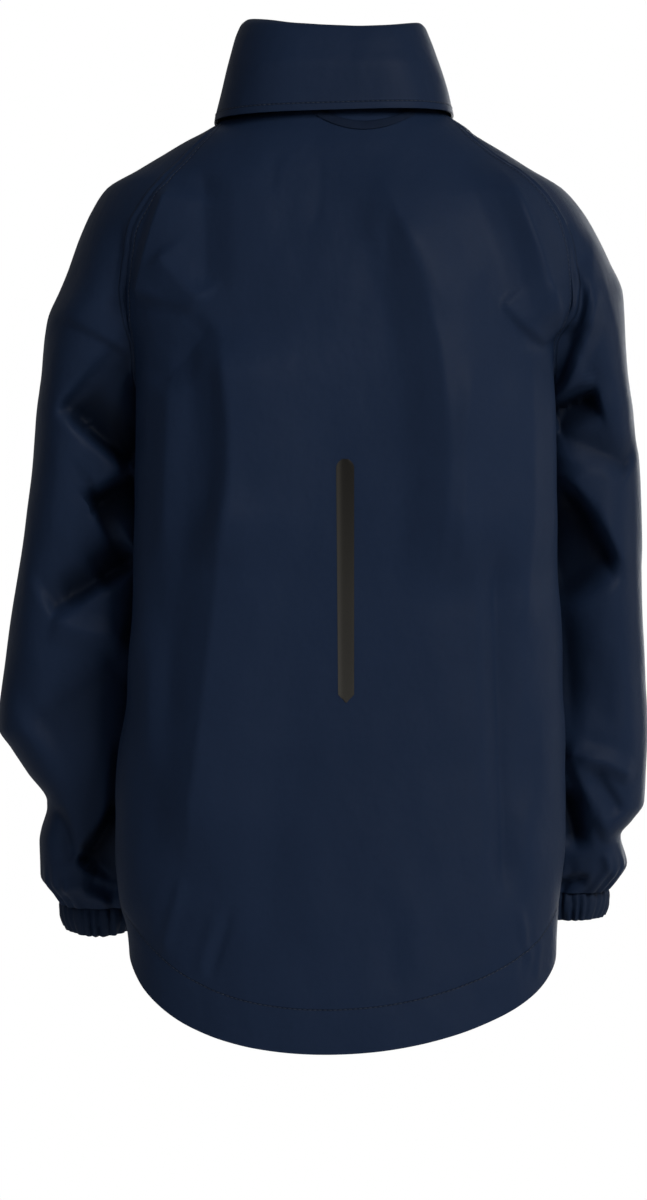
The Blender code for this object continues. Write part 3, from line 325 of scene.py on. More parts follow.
LEFT_SLEEVE_CREASES = (
    # the upper arm
    (155, -59, 148, -136, 0, 18, 7, -3, 1.2, 0.22),
    (203, -132, 143, -165, 1.5, 28, 3.5, -3, 0.6, 0.12),
    (196, -188, 141, -235, -2, 9, 59, -11, 1.6, 0.12),
    (189, -194, 140, -237, -2, 7, 28, -9, 0.8, 0.18),
    (196, -211, 202, -302, 0, 11, 15, 2, 3, 0.3),
    # the two deep pockets inside the elbow
    (176, -265, 139, -248, 0, 27, 11, -22, 0.9, 0.12),
    (173, -256, 141, -234, 2, 5.5, 28, 5, 0.6, 0.15),
    (206, -340, 141, -299, 1.5, 9, 31, -9, 1.6, 0.14),
    (196, -334, 141, -299, 1.5, 7, 18, -7, 1.4, 0.2),
    (171, -319, 139, -297, 0, 10, 31, -7, 0.8, 0.2),
    (203, -341, 146, -356, -5, 17, 13, 5, 0.6, 0.15),
    # the forearm
    (224, -421, 144, -367, -2, 63, 27, -7, 0.8, 0.2),
    (210, -358, 213, -421, 0, 10, 14, 1.6, 3, 0.3),
    (153, -425, 160, -486, 0, 5.5, 17, -5, 1, 0.25),
    (154, -469, 182, -508, 1.5, 5, 31, -18, 0.7, 0.12),
    (202, -469, 188, -507, 3.5, 13, 6, -6, 0.6, 0.2),
    # the bulge over the cuff
    (179, -518, 153, -529, 0, 7, 18, -8, 0.8, 0.2),
    (200, -525, 157, -538, 5.5, 5.5, 10, 4.5, 0.6, 0.2),
    (195, -526, 161, -525, 0, 3.5, 3.5, -2.2, 0.8, 0.22),
)
RIGHT_SLEEVE_CREASES = (
    # the upper arm, from the raglan seam down
    (-175, -60, -150, -190, 10, 31, 11, 8, 0.6, 0.3),
    (-180, -108, -151, -189, 7, 11, 8, 4, 0.6, 0.25),
    (-175, -80, -145, -146, 0, 31, 18, -4, 1.5, 0.22),
    (-171, -104, -147, -188, 4, 18, 8, -11, 0.8, 0.25),
    (-178, -87, -203, -223, 5.5, 20, 5.5, 4, 0.8, 0.2),
    # the pocket under the arm and the fold below it
    (-146, -193, -178, -176, 3.5, 4, 21, 5, 0.5, 0.12),
    (-147, -199, -181, -186, 0, 17, 6, -18, 0.8, 0.12),
    (-146, -211, -206, -238, 2, 14, 35, -8, 0.7, 0.12),
    # the large pocket inside the elbow
    (-147, -242, -196, -321, 5, 59, 7, -19, 0.7, 0.3),
    (-144, -260, -162, -339, 0, 21, 24, -11, 2, 0.35),
    (-150, -242, -196, -318, 5, 3, 35, 4.5, 0.6, 0.15),
    # the forearm
    (-186, -246, -190, -358, 0, 15, 13, 2.2, 3, 0.3),
    (-182, -358, -186, -428, 0, 10, 10, -2.4, 3, 0.3),
    (-153, -311, -162, -438, 3, 21, 20, -11, 2, 0.4),
    (-155, -437, -207, -454, 3.5, 8, 10, 5.5, 0.6, 0.15),
    (-155, -454, -168, -507, 0, 13, 10, -15, 1, 0.32),
    (-161, -440, -192, -500, 0, 6, 21, 5, 0.7, 0.15),
    (-175, -447, -198, -479, 0, 11, 5.5, -5, 0.8, 0.22),
    # the bulge over the cuff
    (-150, -528, -174, -521, 0, 7, 4, -7, 0.8, 0.22),
    (-185, -503, -193, -525, 0, 4, 5.5, 2.2, 0.8, 0.22),
)
# the photo doesn't show the front, so these folds are made up in the same manner
FRONT_CREASES = (
    (60, -70, 92, -180, 4, 9, 16, -5.6, 1.5, 0.22),
    (-62, -66, -90, -176, -4, 16, 9, -5.6, 1.5, 0.22),
    (104, -60, 128, -150, -3, 7, 12, -5, 1.5, 0.22),
    (-100, -62, -126, -152, 3, 12, 7, -5, 1.5, 0.22),
    (72, -230, 66, -540, 5, 20, 10, -6.2, 3, 0.22),
    (-70, -240, -76, -560, -4, 10, 20, -6.2, 3, 0.22),
    (108, -260, 104, -540, 0, 16, 16, 3.8, 5, 0.22),
    (-106, -250, -108, -550, 0, 16, 16, 3.8, 5, 0.22),
    (32, -300, 30, -560, 0, 14, 10, 2.8, 5, 0.22),
    (-34, -180, -30, -420, 0, 12, 12, -2.8, 3, 0.22),
    (22, -120, 24, -300, 0, 12, 12, -2.2, 3, 0.22),
    (44, -120, 12, -190, 4, 5, 8, -2, 1.5, 0.22),
    (-96, -490, -128, -545, 3, 5, 8, -2.2, 1.5, 0.22),
)
LEFT_SLEEVE_FRONT_CREASES = (
    (205, -150, 150, -190, 3, 10, 5, -5, 1.5, 0.22),
    (214, -240, 160, -262, -3, 8, 10, -5, 1.5, 0.22),
    (224, -300, 156, -330, 4, 6, 12, -6.2, 1.5, 0.22),
    (226, -345, 160, -360, 0, 10, 6, 3.8, 1.5, 0.22),
    (232, -385, 160, -372, -3, 12, 6, -5, 1.5, 0.22),
    (206, -440, 165, -480, 3, 6, 12, -6.2, 1.5, 0.22),
    (205, -500, 160, -512, 0, 6, 8, -3.8, 1.5, 0.22),
)
RIGHT_SLEEVE_FRONT_CREASES = (
    (-196, -140, -152, -176, 3, 5, 10, -5, 1.5, 0.22),
    (-206, -226, -158, -250, 3, 10, 6, -5, 1.5, 0.22),
    (-210, -286, -154, -322, -4, 12, 6, -6.2, 1.5, 0.22),
    (-212, -340, -158, -352, 0, 6, 10, 3.8, 1.5, 0.22),
    (-214, -398, -158, -380, 3, 6, 12, -5.6, 1.5, 0.22),
    (-206, -452, -160, -470, -3, 12, 6, -5.6, 1.5, 0.22),
    (-198, -500, -156, -508, 0, 8, 6, -3.8, 1.5, 0.22),
)

# ------------------------------------------------------------------------- hard pieces
HARD_ANGLE = 40.0
ROD_BEVEL_SHARE = 0.25
HINGE_Y = -65.1
HINGE_Z = 35.0
SLIDER_FACE = -63.1
SLIDER_BACK = -60.5
SLIDER_BEVEL = 0.6
PIN_RADIUS = 0.55
LUG_INNER = 1.9
LUG_WIDTH = 1.1
LUG_MIDDLE_Y = -64.7
LUG_HALF_DEPTH = 2.0
LUG_HALF_HEIGHT = 2.5
LUG_BEVEL = 0.25
SLIDER_OUTLINE = (
    (29.0, 1.8), (29.4, 2.8), (30.4, 3.3), (33.0, 3.6),
    (36.0, 4.3), (38.5, 4.6), (40.2, 4.2), (41.0, 2.8),
)
TAB_OUTLINE = (
    (-24.0, 1.4), (-23.6, 2.3), (-22.6, 3.0), (-20.0, 3.4), (-9.0, 3.3),
    (-6.6, 2.9), (-5.2, 1.8), (-3.8, 1.5), (-0.7, 1.5),
)
TAB_THICKNESS = 1.5
TAB_BEVEL = 0.3
TAB_SLOT_MIDDLE = -16.0
TAB_SLOT_HALF_WIDTH = 1.5
TAB_SLOT_HALF_HEIGHT = 5.2
KNUCKLE_RADIUS = 1.7
KNUCKLE_BORE = 0.65
KNUCKLE_HALF = 1.6
KNUCKLE_BEVEL = 0.12
KNUCKLE_SIDES = 28
BOX_HALF_WIDTH = 4.6
BOX_TOP = -559.0
BOX_BOTTOM = -568.0
BOX_FACE = -123.5
BOX_BACK = -121.1
BOX_BEVEL = 0.5
RIDGE_HALF_WIDTH = 1.1
RIDGE_MARGIN = 1.5
RIDGE_HEIGHT = 0.25
RIDGE_BEVEL = 0.2

# ------------------------------------------------------------------------- colours and surfaces
NAVY = (0.0088, 0.0176, 0.0420)
NAVY_COLLAR = (0.0082, 0.0164, 0.0392)
NAVY_SLEEVE = (0.0084, 0.0168, 0.0400)
# the loop's navy is darker than the trim; part of that darkness is painted shade, for the collar's shadow
# over the loop
LOOP_NAVY = (0.0052, 0.0104, 0.0250)
NAVY_TRIM = (0.0072, 0.0142, 0.0330)
STRIP_GREY = (0.0215, 0.0205, 0.0185)
ZIP_TAPE_NAVY = (0.0070, 0.0120, 0.0260)
ZIP_METAL = (0.030, 0.032, 0.036)
THREAD = (0.0085, 0.0155, 0.0330)
CLOTH_ROUGHNESS = 0.52
ROUGHNESS_BELOW = 0.06
ROUGHNESS_SPREAD = 0.14
WEAVE_PITCH = 0.55
STITCH_LINE_WIDTH = 0.5
STITCH_LINE_SHADE = 0.35
# painted shade: depths in millimetres from which a sleeve's fold on its back half is darkened in its colour,
# and how strongly
FOLD_START = 1.0
FOLD_FULL = 14.0
FOLD_BACK = 20.0
PAINTED_FOLD_SHADE = 0.6
# the film's painted highlight along one edge and its fall towards the end, in centimetres of its flat map
FILM_EDGE = -0.5
FILM_EDGE_WIDTH = 0.22
FILM_PAINTED_HIGHLIGHT = 0.9
FILM_FALL = -0.05

# ------------------------------------------------------------------------- room, in metres and watts
FLOOR_RADIUS = 2.4
FLOOR_HEIGHT = -1.13
FLOOR_CORNERS = 96
FLOOR_COLOUR = (0.82, 0.82, 0.81)
ROOM_COLOUR = (0.93, 0.96, 1.0)
ROOM_RANGE = {"From Min": 0.4, "From Max": -0.9, "To Min": 0.1, "To Max": 0.3}
WARM = (1.0, 0.985, 0.96)
COOL = (0.95, 0.97, 1.0)
# name, place, power, size and colour
LIGHTS = (
    ("key", (-1.6, 2.4, 1.1), 77.0, 1.3, WARM),
    ("fill", (1.7, 2.5, 0.5), 13.5, 1.6, COOL),
    ("rim", (-2.7, -0.6, -0.3), 11.0, 0.9, WARM),
    ("front", (-0.8, -2.6, -0.1), 40.0, 1.6, COOL),
)

# ------------------------------------------------------------------------- seams and stitches
NO_MARK = 99.0
SEAM_GROOVE = 0.6
SEAM_GROOVE_WIDTH = 2.0
SEAM_BAND = 0.35
SEAM_BAND_PLACE = 3.0
SEAM_BAND_WIDTH = 1.7
SEAM_PUCKER = 0.22
SEAM_PUCKER_LENGTH = 19.0
SEAM_PUCKER_REACH = 7.0
SEAM_PUCKER_SLANT = 0.6
SEAM_PUCKER_DRIFT = (1.7, 0.37)
HEM_STITCH = 30.0
HEM_STEP = 2.0
HEM_PUCKER = 0.3
HEM_PUCKER_LENGTH = 26.6
HEM_PUCKER_REACH = 9.0
HEM_PUCKER_DRIFT = (1.4, 0.31)
HEM_TROUGH = 0.45
HEM_TROUGH_WIDTH = 2.6
TOPSTITCH = 5.0
# grid points that a line of stitches leaves free at its ends
TOPSTITCH_END = 4
HEM_STITCH_START = 2
STITCH_PITCH = 3.4
STITCH_LENGTH = 2.5
STITCH_RADIUS = 0.3
STITCH_SIDES = 5
STITCH_SINK = 0.6
STITCH_AIM = 1.0
# place along half a thread, and share of its radius
STITCH_RINGS = ((-0.92, 0.45), (0.0, 1.0), (0.92, 0.45))

# ------------------------------------------------------------------------- strip and loop
STRIP_TOP = -235.5
STRIP_LENGTH = 164.0
STRIP_TOP_X = -3.0
STRIP_LEAN = -0.7
STRIP_TOP_HALF_WIDTH = 6.1
STRIP_BOTTOM_HALF_WIDTH = 5.4
STRIP_ROUND_TOP = 6.0
STRIP_POINT = 5.0
STRIP_TIP_WIDTH = 0.12
STRIP_THICKNESS = 0.5
STRIP_BED = 0.3
STRIP_DOME = 0.6
STRIP_DOME_POWER = 6
STRIP_ROWS = 90
STRIP_COLUMNS = 8

LOOP_MIDDLE_X = -15.5
LOOP_HALF_SPAN = 35.0
LOOP_DROP = 12.0
LOOP_TOP = 7.0
LOOP_TAPE = 6.0
LOOP_THICKNESS = 0.8
LOOP_DOME = 0.4
LOOP_DOME_POWER = 4
LOOP_COLUMNS = 70
LOOP_ROWS = 6
LOOP_STAND_OFF = 0.6

# ------------------------------------------------------------------------- zip
TAPE_HALF_WIDTH = 11.0
TAPE_THICKNESS = 0.8
TAPE_STAND_OFF = 0.9
ZIP_HEM_MARGIN = 3.0
ZIP_ROWS = 90
ZIP_COLUMNS = 8
ZIP_COLLAR_START = 9.7
ZIP_COLLAR_END = 8.0
ZIP_COLLAR_ROWS = 24
TOOTH_PITCH = 2.8
TOOTH_LENGTH = 3.0
TOOTH_HEIGHT = 1.5
TOOTH_DEPTH = 1.7
TOOTH_OFFSET = 0.95
TOOTH_SINK = 0.2
TOOTH_BEVEL = 0.25


# =========================================================================== tables and curves
def smooth_slopes(places, values):
    """Slopes of a smooth curve through the values that never overshoots them."""
    steps = np.diff(values) / np.diff(places)
    before = steps[:-1]
    after = steps[1:]
    same_way = before * after > 0
    total = np.where(same_way, before + after, 1.0)
    slopes = np.empty(len(values))
    slopes[0] = steps[0]
    slopes[-1] = steps[-1]
    slopes[1:-1] = np.where(same_way, 2.0 * before * after / total, 0.0)
    return slopes


class Sections:
    """A table of sections in order of its first column, read between its rows as smooth curves."""

    def __init__(self, columns, rows):
        table = np.array(sorted(rows), dtype=float)
        self.places = table[:, 0]
        self.curves = {}
        for number, name in enumerate(columns[1:], start=1):
            self.curves[name] = (table[:, number], smooth_slopes(self.places, table[:, number]))

    def at(self, name, place):
        """Value of one column at a place, or at an array of places."""
        values, slopes = self.curves[name]
        place = np.clip(place, self.places[0], self.places[-1])
        row = np.clip(np.searchsorted(self.places, place) - 1, 0, len(self.places) - 2)
        span = self.places[row + 1] - self.places[row]
        part = (place - self.places[row]) / span
        rest = 1.0 - part
        start = rest * rest * ((1.0 + 2.0 * part) * values[row] + part * span * slopes[row])
        end = part * part * ((3.0 - 2.0 * part) * values[row + 1] - rest * span * slopes[row + 1])
        return start + end


BODY = Sections(BODY_COLUMNS, BODY_SECTIONS)
SLEEVES = {1: Sections(SLEEVE_COLUMN_NAMES, LEFT_SLEEVE), -1: Sections(SLEEVE_COLUMN_NAMES, RIGHT_SLEEVE)}
COLLAR = Sections(COLLAR_COLUMN_NAMES, COLLAR_SECTIONS)


def ease(value):
    """Smooth step from 0 to 1."""
    share = np.clip(value, 0.0, 1.0)
    return share * share * (3.0 - 2.0 * share)


def signed_power(value, power):
    """Power of a number's size that keeps its sign."""
    return np.sign(value) * np.abs(value) ** power


def unit(vectors):
    """Vectors made one long."""
    return vectors / np.linalg.norm(vectors, axis=-1, keepdims=True)


def quarter_turn(vectors):
    """Rows of two numbers turned anticlockwise by a right angle."""
    return np.stack([-vectors[:, 1], vectors[:, 0]], axis=-1)


def full_turn(count):
    """Even angles all the way round."""
    return np.linspace(0.0, math.tau, count, endpoint=False)


def crowded(count):
    """Shares from 0 to 1 that lie closer together near both ends."""
    even = np.linspace(0.0, 1.0, count + 1)
    return even - EDGE_CROWDING * np.sin(math.tau * even) / math.tau


def seen_from_behind(points):
    """X and Z of points as the eye behind the coat sees them."""
    nearer = 1.0 - points[..., 1] / EYE_Y
    x = EYE_X + (points[..., 0] - EYE_X) / nearer
    z = EYE_Z + (points[..., 2] - EYE_Z) / nearer
    return x, z


def bell(value, place, width):
    """1 where a value is at a place, falling to 0 within a width or two."""
    return np.exp(-(((value - place) / width) ** 2))


def with_waves(value, turn, waves):
    """A value with sine waves added; a wave is its size, its number of turns and its start."""
    for size, turns, start in waves:
        value = value + size * np.sin(turns * turn + start)
    return value


def distance_along(points):
    """Distance from the first point of a line to each of its points, along the line."""
    return np.concatenate([[0.0], np.cumsum(np.linalg.norm(np.diff(points, axis=0), axis=1))])


def read_along(values, run, place):
    """Row of numbers at a distance along a line; the values hold one row for each of its points."""
    return np.array([np.interp(place, run, values[:, k]) for k in range(values.shape[1])])


def crease_height(creases, x, z):
    """Sum of the creases' heights at points seen from the front or the back."""
    height = np.zeros(np.broadcast(x, z).shape)
    for row in creases:
        crease = dict(zip(CREASE_COLUMNS, row))
        run_x = crease["end_x"] - crease["start_x"]
        run_z = crease["end_z"] - crease["start_z"]
        length = math.hypot(run_x, run_z)
        along = ((x - crease["start_x"]) * run_x + (z - crease["start_z"]) * run_z) / length**2
        across = ((x - crease["start_x"]) * run_z - (z - crease["start_z"]) * run_x) / length
        off = across - crease["bow"] * 4.0 * along * (1.0 - along)
        width = np.where(off < 0, crease["low_width"], crease["high_width"])
        soft = crease["round"] / width
        level = 1.0 + soft - np.sqrt((off / width) ** 2 + soft**2)
        ends = ease(along / crease["ends"]) * ease((1.0 - along) / crease["ends"])
        height += crease["height"] * ends * (level + np.sqrt(level**2 + FOOT_SOFTNESS**2)) / 2.0
    return height


def crumple_waves():
    """Directions, lengths, depths and starts of the waves that make worn cloth uneven."""
    chance = np.random.default_rng(CRUMPLE_SEED)
    waves = []
    for number in range(CRUMPLE_WAVES):
        direction = unit(chance.normal(size=3) * np.array([1.0, 1.0, CRUMPLE_UPRIGHT]))
        length = CRUMPLE_LONGEST * CRUMPLE_SHRINK**number
        depth = CRUMPLE_DEPTH * (length / CRUMPLE_LONGEST) ** CRUMPLE_POWER
        waves.append((direction, length, depth, chance.uniform(0.0, math.tau)))
    return waves


WAVES = crumple_waves()


def crumple(points):
    """Slight unevenness of worn cloth."""
    height = np.zeros(points.shape[:-1])
    for direction, length, depth, start in WAVES:
        height += depth * np.sin(points @ direction * (math.tau / length) + start)
    return height


# =========================================================================== body surface
def yoke_levels():
    """Heights of the rows from the underarm to the neck, closer together near the neck."""
    steps = np.linspace(1.0, 0.0, YOKE_ROWS + 1) ** YOKE_SPREAD
    return NECK - (NECK - UNDERARM) * steps


def body_depth(is_back, level):
    """Distance from the body's widest line to its back or its front."""
    widest = BODY.at("widest", level)
    return np.where(is_back, BODY.at("back", level) - widest, widest - BODY.at("front", level))


def body_point(angles, level):
    """Outer face of the body before folds; angle 0 is the left side and 90 degrees the centre back."""
    sine = np.sin(angles)
    is_back = sine > 0
    power = 2.0 / np.where(is_back, BACK_SQUARENESS, FRONT_SQUARENESS)
    x = BODY.at("centre", level) + BODY.at("half_width", level) * signed_power(np.cos(angles), power)
    y = BODY.at("widest", level) + body_depth(is_back, level) * signed_power(sine, power)
    rise = np.clip((level - UNDERARM) / (NECK - UNDERARM), 0.0, 1.0) ** NECK_RISE_CURVE
    z = level + rise * sine**2 * np.where(is_back, BACK_NECK_RISE, -FRONT_NECK_DROP)
    return np.stack([x, y, z], axis=-1)


def body_outward(angles, level):
    """Level direction that points out of the body."""
    sine = np.sin(angles)
    x = np.cos(angles) / BODY.at("half_width", level)
    y = sine / body_depth(sine > 0, level)
    return unit(np.stack([x, y, np.zeros_like(x)], axis=-1))


def body_skin(angles, level):
    """Outer face of the body with its creases."""
    points = body_point(angles, level)
    sine = np.sin(angles)
    height = crease_height(BACK_CREASES, *seen_from_behind(points)) * ease(sine / SIDE_FOLD_FADE)
    height += crease_height(FRONT_CREASES, points[..., 0], points[..., 2]) * ease(-sine / SIDE_FOLD_FADE)
    height += crumple(points)
    return points + height[..., None] * body_outward(angles, level)


def hem_height(angles):
    """Hem: level on the front, dropped on the back in a shirt tail that hangs lowest left of its middle."""
    across = signed_power(np.cos(angles), 2.0 / BACK_SQUARENESS)
    across = across - HEM_LEAN * (1.0 - across**2)
    drop = np.sqrt(np.clip(1.0 - across**2, 0.0, 1.0)) * (np.sin(angles) > 0)
    return SIDE_HEM + (BACK_HEM - SIDE_HEM) * drop


def body_grid(start_angle, end_angle, columns):
    """Panel points from hem to neck; the two functions give its side angles at an array of heights."""
    rows = []
    share = crowded(columns)
    for step in range(LOWER_ROWS):
        start = start_angle(np.array(UNDERARM))
        end = end_angle(np.array(UNDERARM))
        angles = start + (end - start) * share
        hem = hem_height(angles)
        heights = hem + (UNDERARM - hem) * step / LOWER_ROWS
        angles = start_angle(heights) + (end_angle(heights) - start_angle(heights)) * share
        rows.append(body_skin(angles, heights))
    for level in yoke_levels():
        heights = np.full(columns + 1, level)
        angles = start_angle(heights) + (end_angle(heights) - start_angle(heights)) * share
        rows.append(body_skin(angles, heights))
    return np.array(rows)


def left_back_seam(level):
    """Angle of the left side and raglan seam on the back panel."""
    return np.radians(BODY.at("left_seam", level))


def right_back_seam(level):
    """Angle of the right side and raglan seam on the back panel."""
    return math.pi - np.radians(BODY.at("right_seam", level))


def left_front_seam(level):
    """Angle of the left side and raglan seam on the left front."""
    return np.radians(BODY.at("front_seam", level))


def right_front_seam(level):
    """Angle of the right side and raglan seam on the right front."""
    return -math.pi - left_front_seam(level)


def front_edge(level, side):
    """Angle of a front panel's edge beside the zip."""
    return -np.arccos((side * FRONT_EDGE_X - BODY.at("centre", level)) / BODY.at("half_width", level))


def left_front_edge(level):
    """Angle of the left front's zip edge."""
    return front_edge(level, 1)


def right_front_edge(level):
    """Angle of the right front's zip edge."""
    return front_edge(level, -1)


# =========================================================================== sleeve surface
def mirrored(points, side):
    """Points turned over to the other side of the coat when side is -1."""
    return points * np.array([side, 1.0, 1.0])


def sleeve_section(side, level):
    """Middle and half sizes of a sleeve's section, each as across and from front to back."""
    section = SLEEVES[side]
    outer = section.at("outer", level)
    inner = section.at("inner", level)
    middle = ((outer + inner) / 2.0, section.at("middle", level))
    return middle, ((outer - inner) / 2.0, section.at("half_depth", level))


def sleeve_bump(side, points, angles):
    """Height of a sleeve's creases; the points are on the coat's own left-hand side."""
    behind = LEFT_SLEEVE_CREASES if side > 0 else RIGHT_SLEEVE_CREASES
    before = LEFT_SLEEVE_FRONT_CREASES if side > 0 else RIGHT_SLEEVE_FRONT_CREASES
    real = mirrored(points, side)
    sine = np.sin(angles)
    power = np.where(np.cos(angles) < 0, INNER_FADE_POWER, OUTER_FADE_POWER)
    fade = np.abs(sine) ** power
    back = crease_height(behind, *seen_from_behind(real)) * (sine > 0)
    front = crease_height(before, real[..., 0], real[..., 2]) * (sine < 0)
    return (back + front) * fade + crumple(real)


def wrist_ripple(turn):
    """Gathers at a sleeve's end, uneven in width and depth."""
    fade = 1.0 - WRIST_GATHER_FADE + WRIST_GATHER_FADE * np.cos(WRIST_GATHER_FADE_TURNS * turn)
    return np.cos(with_waves(WRIST_GATHERS * turn, turn, WRIST_GATHER_DRIFT)) * fade


def sleeve_away(angles):
    """Direction in which a sleeve's creases stand out: to the back or the front, and slightly outwards."""
    sideways = CREASE_SIDEWAYS * np.clip(np.cos(angles), 0.0, None)
    away = np.stack([sideways, np.sin(angles), np.zeros_like(angles)], axis=-1)
    return away / (np.linalg.norm(away, axis=-1, keepdims=True) + TINY)


def sleeve_row(side, level, front_end, back_end, height, wrist_share):
    """One row round a sleeve from its front seam to its back seam, on the coat's own left-hand side."""
    share = crowded(SLEEVE_COLUMNS)
    middle, half = sleeve_section(side, level)
    front_angle, front_reach = front_end
    back_angle, back_reach = back_end
    angles = front_angle + (back_angle - front_angle) * share
    near_front = np.clip(1.0 - share / SEAM_REACH, 0.0, 1.0) ** 2
    near_back = np.clip(1.0 - (1.0 - share) / SEAM_REACH, 0.0, 1.0) ** 2
    reach = 1.0 + (front_reach - 1.0) * near_front + (back_reach - 1.0) * near_back
    ripple = wrist_ripple(angles - front_angle)
    reach = reach + WRIST_GATHER_DEPTH * ease(wrist_share) * ripple / half[1]
    squareness = 2.0 + (SLEEVE_SQUARENESS - 2.0) * ease((UNDERARM + YOKE_BLEND - level) / YOKE_BLEND)
    x = middle[0] + half[0] * reach * signed_power(np.cos(angles), 2.0 / squareness)
    y = middle[1] + half[1] * reach * signed_power(np.sin(angles), 2.0 / squareness)
    z = level + height[0] * (1.0 - share) ** 2 + height[1] * share**2
    points = np.stack([x, y, z], axis=-1)
    nearness = ease(1.0 + (level - UNDERARM) / SEAM_FOLD_DROP)
    seam_fade = ease(share / SEAM_FOLD_FADE) * ease((1.0 - share) / SEAM_FOLD_FADE)
    bump = sleeve_bump(side, points, angles) * (1.0 - nearness * (1.0 - seam_fade))
    return points + bump[:, None] * sleeve_away(angles)


def seam_end(side, level, point):
    """Angle and reach of a seam point as seen from the middle of the sleeve's section."""
    middle, half = sleeve_section(side, level)
    across = (point[0] - middle[0]) / half[0]
    along = (point[1] - middle[1]) / half[1]
    return math.atan2(along, across), math.hypot(across, along)


def tilted(points, side, wrist, tilt, share):
    """Points whose back is lowered and front raised, as the end of a bent arm's sleeve is."""
    middle = SLEEVES[side].at("middle", wrist)
    lowered = points.copy()
    lowered[..., 2] -= tilt * share * (points[..., 1] - middle)
    return lowered


def sleeve_grid(side, front_seam, back_seam, wrist, tilt):
    """Sleeve points from wrist to neck; the seams are the panels' own edges from underarm to neck."""
    front_points = mirrored(front_seam, side)
    back_points = mirrored(back_seam, side)
    underarm_angle, underarm_reach = seam_end(side, UNDERARM, back_points[0])
    rows = []
    for level in np.linspace(wrist, UNDERARM, TUBE_ROWS + 1)[:-1]:
        fade = ease((UNDERARM - level) / UNDERSEAM_DROP)
        angle = underarm_angle + (math.pi - underarm_angle) * fade
        reach = underarm_reach + (1.0 - underarm_reach) * fade
        wrist_share = 1.0 - (level - wrist) / WRIST_GATHER_REACH
        ends = ((angle - math.tau, reach), (angle, reach))
        row = sleeve_row(side, level, *ends, (0.0, 0.0), wrist_share)
        rows.append(tilted(row, side, wrist, tilt, ease(1.0 - (level - wrist) / WRIST_TILT_REACH)))
    for number, level in enumerate(yoke_levels()):
        front_angle, front_reach = seam_end(side, level, front_points[number])
        if front_angle > math.pi / 2.0:
            front_angle -= math.tau
        back_end = seam_end(side, level, back_points[number])
        height = (front_points[number][2] - level, back_points[number][2] - level)
        rows.append(sleeve_row(side, level, (front_angle, front_reach), back_end, height, 0.0))
    grid = mirrored(np.array(rows), side)
    return grid if side > 0 else grid[:, ::-1]


# =========================================================================== walls
def outward(grid, joined_rows=0):
    """Outward direction at each grid point; the first joined_rows rows are closed rings."""
    across = np.gradient(grid, axis=1)
    ring = grid[:joined_rows, 1] - grid[:joined_rows, -2]
    across[:joined_rows, 0] = ring
    across[:joined_rows, -1] = ring
    return unit(np.cross(across, np.gradient(grid, axis=0)))


def share_direction(first, second):
    """Give two seam edges one common direction where their panels lie nearly flush."""
    flush = (first * second).sum(axis=-1) > SEAM_SHARE_LIMIT
    common = unit(first[flush] + second[flush])
    first[flush] = common
    second[flush] = common


def flat_map(grid):
    """Distances in centimetres across and along the cloth, as its flat pattern would have them."""
    across = np.linalg.norm(np.diff(grid, axis=1), axis=-1)
    start = np.zeros((len(grid), 1))
    over = np.concatenate([start, np.cumsum(across, axis=1)], axis=1)
    over = over - over[:, -1:] / 2.0
    along = np.linalg.norm(np.diff(grid, axis=0), axis=-1).mean(axis=1)
    up = np.concatenate([[0.0], np.cumsum(along)])
    return np.stack([over, np.broadcast_to(up[:, None], over.shape)], axis=-1) / MM_PER_CM


def add_object(name, data):
    """Object in the scene for a mesh, a light or a camera."""
    made = bpy.data.objects.new(name, data)
    bpy.context.scene.collection.objects.link(made)
    return made


def new_mesh(name, vertices, faces):
    """Mesh from vertices in millimetres and faces."""
    mesh = bpy.data.meshes.new(name)
    mesh.from_pydata((np.array(vertices) * MM).tolist(), [], faces)
    return mesh


def link(name, mesh, surface, body="coat"):
    """Object for a mesh, with its material, riding on a body."""
    mesh.materials.append(surface)
    made = add_object(name, mesh)
    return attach(made, body)


def add_wall(name, grid, normals, thickness, surface, joined_rows=0, marks=None):
    """Closed wall with the grid as its outer face; marks are numbers at its points, for the material."""
    rows, columns = grid.shape[:2]
    ids = np.arange(rows * columns).reshape(rows, columns)
    corners = np.stack([ids[:-1, :-1], ids[:-1, 1:], ids[1:, 1:], ids[1:, :-1]], axis=-1).reshape(-1, 4)
    merged = ids.copy()
    merged[:joined_rows, -1] = merged[:joined_rows, 0]
    used, lookup = np.unique(merged, return_inverse=True)
    faces = lookup.reshape(-1)[corners]
    outer = grid.reshape(-1, 3)[used]
    depth = np.broadcast_to(thickness, (rows, columns)).reshape(-1, 1)[used]
    inner = outer - depth * normals.reshape(-1, 3)[used]
    count = len(used)
    starts = faces.reshape(-1)
    ends = np.roll(faces, -1, axis=1).reshape(-1)
    open_edge = ~np.isin(starts * count + ends, ends * count + starts)
    rim = np.stack([ends, starts, starts + count, ends + count], axis=-1)[open_edge]
    every = np.concatenate([faces, faces[:, ::-1] + count, rim])
    mesh = new_mesh(name, np.concatenate([outer, inner]), every.tolist())
    rim_ends = np.stack([np.roll(corners, -1, axis=1).reshape(-1), corners.reshape(-1)], axis=-1)[open_edge]
    every_corner = (corners, corners[:, ::-1], rim_ends[:, [0, 1, 1, 0]])
    loops = np.concatenate([part.reshape(-1) for part in every_corner])
    flat = flat_map(grid).reshape(-1, 2)[loops]
    mesh.uv_layers.new(name="flat").data.foreach_set("uv", flat.reshape(-1))
    for label, numbers in (marks or {}).items():
        values = np.tile(numbers.reshape(-1)[used], 2)
        mesh.attributes.new(label, "FLOAT", "POINT").data.foreach_set("value", values)
    mesh.shade_smooth()
    mesh.set_sharp_from_angle(angle=math.radians(SMOOTH_ANGLE))
    return link(name, mesh, surface)


